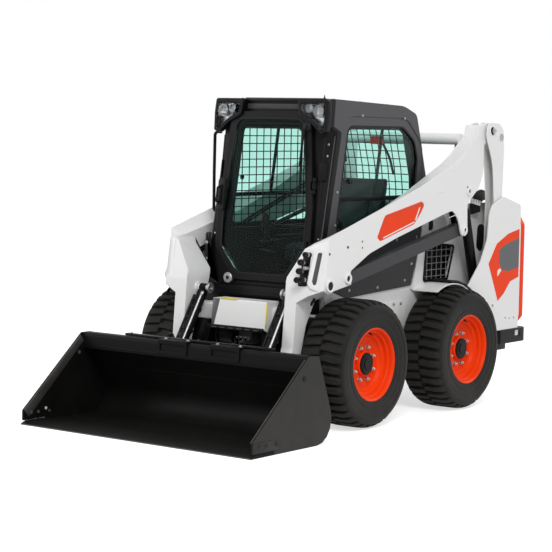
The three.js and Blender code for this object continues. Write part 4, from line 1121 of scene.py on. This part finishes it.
# couplers on the left knee, behind a slotted guard that lies on the knee's cut corner
knee = Pile()
plate = prism([(492, 1058, 10), (543, 1062, 10), (532, 862, 10), (466, 858, 12)], "y", 0, -6, 2)
for v in plate.verts:
    v.co.y += knee_at(v.co.z) + 1
knee.put(BLACK, plate)
for a, z, r, reach in ((534, 1046, 15, 58), (508, 1000, 17, 62), (503, 948, 17, 62),
                       (496, 896, 16, 66), (528, 900, 15, 62), (530, 968, 10, 40)):
    foot, way = (a, knee_at(z) - 4, z), (0, -1, 0.08)
    knee.put(ZINC if r < 14 else PLASTIC,
             lathe([(0, 0), (r, 0), (r, reach * 0.3), (r - 3, reach * 0.34), (r - 3, reach * 0.6),
                    (r + 2, reach * 0.64), (r + 2, reach * 0.9), (r - 1, reach), (r - 6, reach),
                    (r - 6, reach - 8), (0, reach - 8)], foot, way, 28))
    knee.put(ZINC, lathe([(r - 4, reach * 0.35), (r - 1, reach * 0.38), (r - 1, reach * 0.56),
                          (r - 4, reach * 0.6)], foot, way, 28, closed=True))
guard = [(84, 1078, 8), (10, 1078, 16), (-14, 884, 22), (6, 850, 12), (56, 836, 8)]
opening = [(62, 1060, 10), (34, 1060, 10), (14, 892, 12), (24, 872, 8), (42, 868, 10)]
CUT_SIN, CUT_COS = 0.788, 0.616
for paint, plate in ((WHITE, pierced(guard, opening, "x", -5, 10, 3)),
                     (CAST, prism(opening, "x", -5, 1.5, 0.5))):
    for v in plate.verts:
        x, y, z = v.co
        v.co = Vector((KNEE_CUT + y * CUT_COS + x * CUT_SIN,
                       knee_at(z) + y * CUT_SIN - x * CUT_COS, z))
    knee.put(paint, plate)
piece("knee_couplers", knee, "lift_arms")


# ---------------------------------------------------------------- step between the arms

def on_step(corners, far, near, bevel=1.5):
    """A plate on the step's leaning front face, between two distances ahead of it."""
    bm = prism(corners, "y", -near, -far, bevel)
    for v in bm.verts:
        v.co.y += FRONT - 352 + (v.co.z - 572) * 14 / 170
    return bm


TEETH, TOOTH = 24, 18
step = Pile()
step.put(YELLOW, on_step([(-146, 748, 3), (-20, 748, 3), (-20, 741, 3), (-146, 741, 3)], -14, 5),
         on_step(rect(206, 214, 600, 738), -1, 2, 0.5))
step.put(GREY, on_step([(-204, 741, 8), (-150, 741, 3), (-186, 578, 3), (-204, 578, 8)], -1, 1.5,
                       0.5))
saw = [(-232, 560)]
for x in range(-232, TOOTH * TEETH - 232, TOOTH):
    saw += [(x, 576), (x + TOOTH / 2, 584), (x + TOOTH, 576)]
step.put(BLACK, on_step(saw + [(200, 560)], -20, 16, 1))
for x in range(-190, 131, 64):
    step.put(CAST, on_step(rect(x, x + 40, 566, 572, 3), 14, 20, 1))
piece("step_gear", step, "lift_arms")


# ---------------------------------------------------------------- lines and links of the arms

for hand, side in SIDES:
    x = side * TILT_PLANE
    head, foot = Vector((x, *TILT_HEAD)), Vector((x, *TILT_FOOT))
    way = (foot - head).normalized()
    ahead = Vector((0, way.z, -way.y))
    line = Pile()
    for across, material in ((26, ZINC), (-26, BLACK)):
        start = head + way * 70 + ahead * 30 + Vector((across, 0, 0))
        line.put(material, tube([start + way * along for along in (0, 120, 240, 318)], 7, 12))
    for along in (150, 300):
        line.put(BLACK, lathe([(33, -9), (37, -9), (38, -8), (38, 8), (37, 9), (33, 9)],
                              head + way * along, way, 32, closed=True))
    line.put(ZINC, lathe([(0, 0), (10, 0), (10, 20), (7, 22), (0, 22)],
                         head + way * 66 + ahead * 28 + Vector((26, 0, 0)), -way, 6))
    piece(f"tilt_line_{hand}", line, "tilt_barrels")
    pin = lathe([(18, 0), (30, 0), (32, 2), (32, 12), (30, 14), (12, 14), (10, 12), (10, 2)],
                (side * (TILT_PLANE - 41), *TILT_HEAD), (-side, 0, 0), 32, closed=True)
    piece(f"tilt_pin_{hand}", [(pin, ZINC)], "lift_arms")

SLEEVE = ((474, 292, 1706), (472, 298, 1670), (472, 312, 1620), (474, 326, 1560))
hoses = Pile()
hoses.put(HOSE, *(tube([(side * x, REAR + y, z) for x, y, z in SLEEVE], 28, 18)
                  for side in (1, -1)))
piece("arm_hoses", hoses, "lift_arms")

LINK_PLATE = [(REAR + 412, 1796, 26), (REAR + 466, 1822, 14), (REAR + 512, 1788, 16),
              (REAR + 466, 1744, 30)]
for hand, side in SIDES:
    x, out = side * 627, (side, 0, 0)
    pivot = (x, REAR + 581, 1744)
    link = Pile()
    link.put(WHITE, prism(LINK_PLATE, "x", x, x + side * 5, 1.5))
    link.bolts([(x + side * 10, REAR + 466, 1787)], out, 15)
    disc_boss(link, pivot, side, 30, 22, 2)
    link.put(ZINC, lathe([(0, -2), (26, -2), (26, 3), (24, 4), (0, 4)], pivot, out, 32))
    piece(f"link_gear_{hand}", link, "rear_links")


# ---------------------------------------------------------------- bucket

HALF_BUCKET = 863.5
EDGE_Y = FRONT - 1328
LIP_Y, LIP_Z = FRONT - 801, 513
BACK_FOOT, BACK_TOP = Vector((FRONT - 510, 0)), Vector((FRONT - 709, 509))
BACK_WAY = (BACK_TOP - BACK_FOOT).normalized()
SLOPE_FOOT, SLOPE_TOP = Vector((EDGE_Y + 14, 88)), Vector((LIP_Y - 8, LIP_Z))
SLOPE_WAY = (SLOPE_TOP - SLOPE_FOOT).normalized()


def on_back(along, behind):
    """A point (y, z) on the bucket's back, along it and behind it."""
    p = BACK_FOOT + BACK_WAY * along + Vector((BACK_WAY.y, -BACK_WAY.x)) * behind
    return p.x, p.y


def on_back_all(*pairs):
    return [on_back(*pair) for pair in pairs]


bucket = Pile()
# pockets and stiffening strip on the lip
for x0, x1 in ((-246, -24), (148, 368)):
    pocket = [(x0, 438, 6), (x0, LIP_Z + 6, 10), (x1, LIP_Z + 6, 10), (x1, 438, 6),
              (x1 - 34, 426, 8), (x0 + 34, 426, 8)]
    hollow = [(x0 + 16, 456, 6), (x0 + 16, LIP_Z - 18, 6), (x1 - 16, LIP_Z - 18, 6),
              (x1 - 16, 456, 6)]
    bucket.put(BUCKET, pierced(pocket, hollow, "y", LIP_Y - 7, LIP_Y + 1, 1.5),
               block((x0, x1), (LIP_Y - 6, LIP_Y + 86), (LIP_Z + 0.2, LIP_Z + 8), 2.5))
    bucket.bolts([(x, LIP_Y + 40, LIP_Z + 8) for x in (x0 + 26, x1 - 26)], (0, 0, 1), 9)
bucket.put(BUCKET, block((-838, 838), (LIP_Y - 4, LIP_Y + 1), (428, 440), 1.5))
bucket.put(BLACK, block((-560, 560), (LIP_Y + 56, LIP_Y + 92), (LIP_Z + 0.2, LIP_Z + 14), 4))
bucket.bolts([(x, LIP_Y + 74, LIP_Z + 14) for x in range(-520, 521, 260)], (0, 0, 1), 6, CAST)

# side plates: cutter strips, heel patches and holes
square = Vector((SLOPE_WAY.y, -SLOPE_WAY.x))
low, high = SLOPE_FOOT + SLOPE_WAY * 2, SLOPE_TOP - SLOPE_WAY * 24
strip = [tuple(p) for p in (low, high, high + square * 46, low + square * 62)]
patch = [(EDGE_Y + 16, 26, 4), (EDGE_Y + 16, 84, 4), (EDGE_Y + 210, 84, 6), (EDGE_Y + 250, 26, 4)]
for side in (1, -1):
    x, out = side * HALF_BUCKET, (side, 0, 0)
    bucket.put(EDGE, prism(strip, "x", x - side * 18, x - side * 12, 1.5))
    bucket.put(PLATE, prism(patch, "x", x - side * 0.5, x + side * 4, 1.5))
    for y, z, r in ((-1201, 393, 11), (-1555, 65, 10), (-1461, 61, 10), (-1615, 68, 10)):
        bucket.put(HOSE, plug(r, 6.2, 4, (x - side * 0.2, y, z), out, 24))
        bucket.put(PLATE, lathe([(r, 4), (r, 6.4), (r + 4, 6.4), (r + 5, 4)], (x, y, z), out, 24,
                                closed=True))
        bucket.put(ZINC, plug(r, 1, -3, (x - side * 19, y, z), (-side, 0, 0), 24))
bucket.put(WHITE, plug(9, 1.5, -2, (18 - HALF_BUCKET, -1490, 80), (1, 0, 0), 20))

# folded seams, wear strips, gussets and rails
for along in (168, 330):
    y, z = on_back(along, -11.5)
    bucket.put(BUCKET, block((-848, 848), (y - 2.5, y + 2.5), (z - 2, z + 2), 1))
for x in (-620, -310, 0, 310, 620):
    heel = FRONT - (750 if abs(x) > 500 else 640)
    bucket.put(EDGE, block((x - 40, x + 40), (EDGE_Y + 225, heel), (0.3, 2.5), 0.8))
for x in (-720, -640, 640, 720):
    gusset = on_back_all((60, 0.4), (470, 0.4), (440, 3), (120, 3))
    bucket.put(BUCKET, prism(gusset, "x", x - 6, x + 6, 1.5))
for x0, x1 in ((-730, -575), (575, 730)):
    rail = on_back_all((452, 0.4), (500, 0.4), (500, 3), (478, 3))
    bucket.put(BUCKET, prism(rail, "x", x0, x1, 2))
piece("bucket_gear", bucket, "bucket")

# carrier: wedges, levers and cross strips
carrier = Pile()
for side in (1, -1):
    x, tip = side * 240, side * 260
    foot, elbow, top = on_back_all((400, 40), (470, 70), (545, 58))
    carrier.put(ZINC, rod((x, *on_back(200, 24)), (x, *on_back(420, 24)), 15, 2))
    carrier.put(BLACK, prism(on_back_all((230, 12.5), (330, 12.5), (330, 44), (230, 44)), "x",
                             x - 24, x + 24, 3))
    carrier.put(CAST, pipe([(x, *foot), (x + side * 6, *elbow), (tip, *top)], 9, 30, 14))
    carrier.put(BLACK, lathe([(0, 0), (13, 0), (15, 6), (15, 24), (12, 32), (0, 34)], (tip, *top),
                             (side, 0, 0.1), 20))
    carrier.put(CAST, lathe([(0, 0), (22, 0), (22, 10), (0, 10)], (x - 12, *foot), (1, 0, 0), 28))
for x0, x1 in ((-556, -385), (-275, 275), (385, 556)):
    for strip in (((478, 12.5), (500, 12.5), (500, 40), (486, 40)),
                  ((162, 12.5), (184, 12.5), (176, 34), (162, 34))):
        carrier.put(BLACK, prism(on_back_all(*strip), "x", x0, x1, 3))
piece("carrier_gear", carrier, "bucket")


# ---------------------------------------------------------------- body sides

WINDOW = [(REAR - 75, 812, 12), (REAR - 45, 1055, 12), (REAR + 285, 1022, 12), (REAR + 210, 812, 12)]
GRAPHIC = [(1548, 1126), (1399, 1099), (1250, 1038), (1147, 908), (1279, 653), (1356, 699),
           (1438, 775), (1548, 801)]
CORE = [(1548, 1067), (1339, 1022), (1282, 992), (1282, 917), (1316, 859), (1412, 846), (1548, 866)]
FLASH = [(1272, 822), (1262, 822), (1268, 860), (1300, 872), (1316, 856)]
PORTS = ([(703, 1137, 22), (703, 1207, 22), (751, 1207, 22), (751, 1137, 22)],
         [(1300, 1000, 40), (1312, 1155, 34), (1400, 1155, 34), (1404, 1080, 20), (1372, 955, 30)])
COVER_BOLTS = ((-330, 830), (-190, 800), (120, 800), (430, 826), (505, 930), (560, 1100),
               (330, 1090), (60, 980), (-120, 950), (-320, 900))
FLAP_INNER, FLAP_THICK, FLAP_STEPS = 424, 11, 18


def panel_gear(side):
    """The colours and bolts on a rear side panel."""
    x, out = side * PANEL, (side, 0, 0)
    decal = Pile()
    for outline, proud, paint in ((GRAPHIC, 0.9, ORANGE), (CORE, 1.1, GREY), (FLASH, 1.6, WHITE)):
        decal.put(paint, prism(outline, "x", x - side * 0.5, x + side * proud, 0.3, 1))
    decal.bolts([(x, 1213, 628)], out, 7)
    decal.bolts([(x, y, z) for y, z in ((1386, 533), (1440, 526), (1498, 528))], out, 5)
    return decal


def air_screen(side):
    """The mesh window ahead of the rear wheel, with dark slats and ports behind it."""
    screen = Pile()
    screen.put(WIRE, *lattice(inset(WINDOW, 4), (58, 42),
                              lambda a, b, rise: (side * (459 + rise * 0.5), a, b), 2.6))
    screen.put(BLACK, ring(inset(WINDOW, -9), 15, "x", side * 456, side * 463, 2))
    screen.put(HOSE, prism(inset(WINDOW, -2), "x", side * 352, side * 372, 2))
    for k in range(8):
        y = REAR - 40 + k * 36
        screen.put(PLASTIC, block((side * 384, side * 410), (y, y + 20), (826, 1010), 4))
    screen.put(HOSE, *(prism(port, "x", side * 450, side * 456, 0.8) for port in PORTS))
    return screen


def frame_gear(side):
    """A bolted plate between the wheels, and a flange round each axle."""
    x, out = side * 440, (side, 0, 0)
    solids = Pile()
    solids.put(WHITE, block((x, x + side * 5), (-150, 420), (420, 700), 4))
    solids.bolts([(x + side * 5, y, z) for y in (-130, 20, 170, 320, 400) for z in (440, 680)], out, 8)
    for axle in (FRONT, REAR):
        solids.put(BLACK, lathe([(63, 0), (104, 0), (108, 4), (108, 16), (104, 20), (84, 20),
                                 (78, 34), (63, 36)], (x, axle, AXLE), out, 48, closed=True))
        turns = (math.pi * k / 4 + 0.2 for k in range(8))
        solids.bolts([(x + side * 20, axle + 94 * math.cos(t), AXLE + 94 * math.sin(t))
                      for t in turns], out, 7)
    return solids


def fender_flap(side):
    """A rubber flap along the fender's rim."""
    turns = [math.radians(92 - k * 2.45) for k in range(FLAP_STEPS + 1)]
    rim = [(REAR + r * math.cos(t), AXLE + r * math.sin(t))
           for r, way in ((FLAP_INNER, 1), (FLAP_INNER + FLAP_THICK, -1)) for t in turns[::way]]
    return [(prism(rim, "x", side * 462, side * 628, 1.5), PLASTIC)]


for hand, side in SIDES:
    piece(f"panel_gear_{hand}", panel_gear(side), "chassis")
    piece(f"air_screen_{hand}", air_screen(side), "chassis", angle=50)
    covers = Pile()
    covers.bolts([(side * 452, y, z) for y, z in COVER_BOLTS], (side, 0, 0), 7)
    piece(f"cover_bolts_{hand}", covers, "chassis")
    piece(f"frame_gear_{hand}", frame_gear(side), "chassis")
    piece(f"fender_flap_{hand}", fender_flap(side), "chassis")

# a bundle of hoses looped over the engine bay, beside each upright
lines = Pile()
for side in (1, -1):
    for k in range(4):
        x, r = side * (468 + k * 9), 118 - k * 16
        loop = [(x, 1322 - r * math.cos(t), 1262 + r * math.sin(t))
                for t in (-0.3, 0.3, 0.9, 1.57, 2.2, 2.8, 3.4)]
        lines.put(HOSE, tube(loop, 11, 12))
        for end, way in ((loop[1], 1), (loop[5], -1)):
            lines.put(ZINC, lathe([(0, 0), (14, 0), (14, 18), (12, 22), (12, 34), (0, 36)], end,
                                  (0, way * 0.3, 0.95), 6))
piece("rear_hoses", lines, "chassis")

# front of the frame below the cab: a dark plate over the bulkhead, partly the frame's dark front and
# partly painted shade under the cab, then winding drum, valve block and hoses
nose = Pile()
# this dark plate is partly painted shade: it darkens the white bulkhead where shade falls below the
# cab, besides giving the frame's dark front
nose.put(BLACK, block((-438, 438), (FRONT - 130, FRONT - 118), (220, 811), 4))
for side in (1, -1):
    nose.put(BLACK, prism([(FRONT - 262, 420, 20), (FRONT - 200, 566, 30), (FRONT - 116, 705, 20),
                           (FRONT - 116, 300, 10), (FRONT - 240, 302, 20)], "x", side * 322,
                          side * 446, 4))
    corner = [(330, 800, 10), (452, 812, 10), (446, 1120, 20), (420, 1130, 10), (424, 860, 20),
              (340, 812, 10)]
    nose.put(DARK, prism([(side * a, *rest) for a, *rest in corner], "y", FRONT - 122, FRONT - 96,
                         3))
    nose.bolts([(side * 436, FRONT - 122, z) for z in (880, 960, 1060)], (0, -1, 0), 8)
nose.put(PLASTIC, lathe([(0, 0), (62, 0), (64, 3), (64, 10), (46, 12), (46, 118), (64, 120),
                         (64, 127), (62, 130), (0, 130)], (-255, FRONT - 190, 500), (1, 0, 0), 40))
nose.put(CAST, block((-96, 6), (FRONT - 220, FRONT - 132), (462, 540), 6))
for x in (-78, -45, -12):
    nose.put(ZINC, lathe([(0, 0), (13, 0), (13, 18), (9, 22), (9, 40), (0, 42)],
                         (x, FRONT - 220, 500), (0, -1, 0), 6))
    nose.put(HOSE, tube([(x, FRONT - 262, 500), (x + 8, FRONT - 280, 470), (x + 30, FRONT - 270, 400),
                         (x + 60, FRONT - 200, 330), (x + 60, FRONT - 140, 300)], 9, 10))
nose.put(PLASTIC, block((60, 170), (FRONT - 200, FRONT - 132), (440, 560), 8))
nose.put(BLACK, block((-320, 320), (FRONT - 150, FRONT - 128), (740, 772), 5))
for x in (-241, 241):
    nose.put(ZINC, lathe([(12, 26), (30, 26), (33, 23), (33, 0), (12, 0)], (x, FRONT - 130, 852),
                         (0, -1, 0), 32, closed=True))
piece("nose_gear", nose, "chassis")

under = Pile()
for y0 in (-300, 80, 460):
    under.put(BLACK, block((-280, 280), (y0, y0 + 300), (197, 205.5), 3))
    under.bolts([(x, y, 197) for x in (-250, 250) for y in (y0 + 30, y0 + 270)], (0, 0, -1), 9)
piece("belly_covers", under, "chassis")


# ---------------------------------------------------------------- rear door, bumper and hood

DOOR_BACK = REAR + 900
HALF_DOOR = PANEL - 5
DOOR_EDGE = [(-HALF_DOOR, 530, 30), (-HALF_DOOR + 50, 470, 20), (HALF_DOOR - 50, 470, 20),
             (HALF_DOOR, 530, 30), (HALF_DOOR, 1155, 40), (HALF_DOOR - 40, 1215, 20),
             (-HALF_DOOR + 40, 1215, 20), (-HALF_DOOR, 1155, 40)]
REARWARD = (0, 1, 0)

rear = Pile()
rear.put(ORANGE, pierced(inset(DOOR_EDGE, -2), inset(DOOR_EDGE, 26), "y", DOOR_BACK - 48,
                         DOOR_BACK + 4, 4))
for x0, x1 in ((-560, -390), (390, 560)):
    middle = (x0 + x1) / 2
    red = [(x0 + 4, 1014, 16), (middle, 1014, 4), (middle, 1146, 4), (x0 + 4, 1146, 16)]
    clear = [(middle + 2, 1014, 4), (x1 - 4, 1014, 16), (x1 - 4, 1146, 16), (middle + 2, 1146, 4)]
    rear.put(BLACK, ring(inset(rect(x0, x1, 1010, 1150, 20), -8), 12, "y", DOOR_BACK - 2,
                         DOOR_BACK + 14, 3))
    rear.put(RED, prism(red, "y", DOOR_BACK, DOOR_BACK + 11, 3))
    rear.put(LENS, prism(clear, "y", DOOR_BACK + 2, DOOR_BACK + 11, 3))
    rear.put(REFLECTOR, prism(clear, "y", DOOR_BACK - 1, DOOR_BACK + 1, 0.5))
for z in range(770, 1101, 55):
    slat = [(DOOR_BACK - 6, z + 24), (DOOR_BACK + 6, z + 2), (DOOR_BACK + 9, z + 4),
            (DOOR_BACK - 3, z + 27)]
    rear.put(BLACK, prism(slat, "x", -334, 334, 0.8))
grip = rect(430, 560, 800, 880, 16)
rear.put(BLACK, ring(rect(-352, 352, 752, 1144, 20), 16, "y", DOOR_BACK, DOOR_BACK + 7, 2),
         pierced(grip, inset(grip, 16), "y", DOOR_BACK, DOOR_BACK + 8, 3))
rear.put(HOSE, prism(inset(grip, 16), "y", DOOR_BACK - 6, DOOR_BACK + 1, 0.5))
rear.put(BLACK, pipe([(446, DOOR_BACK + 4, 840), (450, DOOR_BACK + 26, 840),
                      (540, DOOR_BACK + 26, 840), (544, DOOR_BACK + 4, 840)], 7, 14, 12),
         block((-420, 420), (DOOR_BACK, DOOR_BACK + 4), (560, 700), 3))
rear.bolts([(x, DOOR_BACK + 4, z) for x in (-380, -130, 130, 380) for z in (580, 680)], REARWARD, 8)
rear.bolts([(x, DOOR_BACK, z) for x in (-560, 560) for z in (560, 700, 940)], REARWARD, 8)
piece("rear_door_gear", rear, "rear_door")

tail = Pile()
for side in (1, -1):
    tail.put(REFLECTOR, block((side * 651, side * 648), (REAR + 790, REAR + 830), (404, 440), 1))
    tail.put(HOSE, prism(rect(REAR + 850, REAR + 900, 392, 430, 8), "x", side * 649, side * 652,
                         1))
    hook = [(side * 435, 378, 8), (side * 435, 432, 8), (side * 525, 432, 8), (side * 525, 378, 8)]
    tail.put(CAST, ring(hook, 7, "y", REAR + 964, REAR + 969, 1.5))
tail.bolts([(x, REAR + 967, 405) for x in (-300, -100, 100, 300)], REARWARD, 11)
tail.put(BLACK, block((-560, 560), (REAR + 640, REAR + 830), (300, 356), 8))
piece("bumper_gear", tail, "chassis")

lid = Pile()
for row in range(8):
    y = REAR + 172 + row * 55
    slat = [(y + 2, 1288), (y + 22, 1276), (y + 24, 1279), (y + 4, 1291)]
    lid.put(BLACK, prism(slat, "x", -334, 334, 0.8))
lid.put(BLACK, ring(rect(-350, 350, REAR + 156, REAR + 606, 20), 14, "z", 1289, 1295.5, 2))
for side in (1, -1):
    x = side * 396
    lid.put(BLACK, pipe([(x, REAR + 300, 1288), (x, REAR + 300, 1318), (x, REAR + 460, 1318),
                         (x, REAR + 460, 1288)], 7, 16, 12))
    lid.bolts([(side * 400, y, 1292) for y in (REAR + 100, REAR + 488)], (0, 0, 1), 8)
lid.put(HOSE, block((-320, 320), (REAR + 170, REAR + 600), (1238, 1252), 4))
piece("hood_gear", lid, "hood")

# engine dress: injectors with their pipes, air filter, cover and radiator
motor = Pile()
for k in range(4):
    y = REAR + 140 + k * 130
    motor.put(CAST, lathe([(0, 0), (52, 0), (56, 6), (56, 30), (46, 40), (24, 44), (0, 44)],
                          (110, y, 958), (0, 0, 1), 28),
              pipe([(-120, y, 950), (-120, y, 1010), (-200, y, 1010), (-262, y, 960)], 24, 50, 16))
motor.put(ZINC, lathe([(0, 0), (80, 0), (84, 6), (84, 300), (80, 306), (0, 306)],
                      (-150, REAR + 160, 1090), REARWARD, 40))
motor.put(PLASTIC, block((20, 240), (REAR + 120, REAR + 560), (1040, 1130), 20))
motor.put(CAST, block((-300, 300), (REAR + 672, REAR + 740), (500, 1130), 10))
for z in range(520, 1088, 27):
    motor.put(ZINC, block((-280, 280), (REAR + 738, REAR + 748), (z, z + 8), 1))
piece("engine_dress", motor, "chassis")
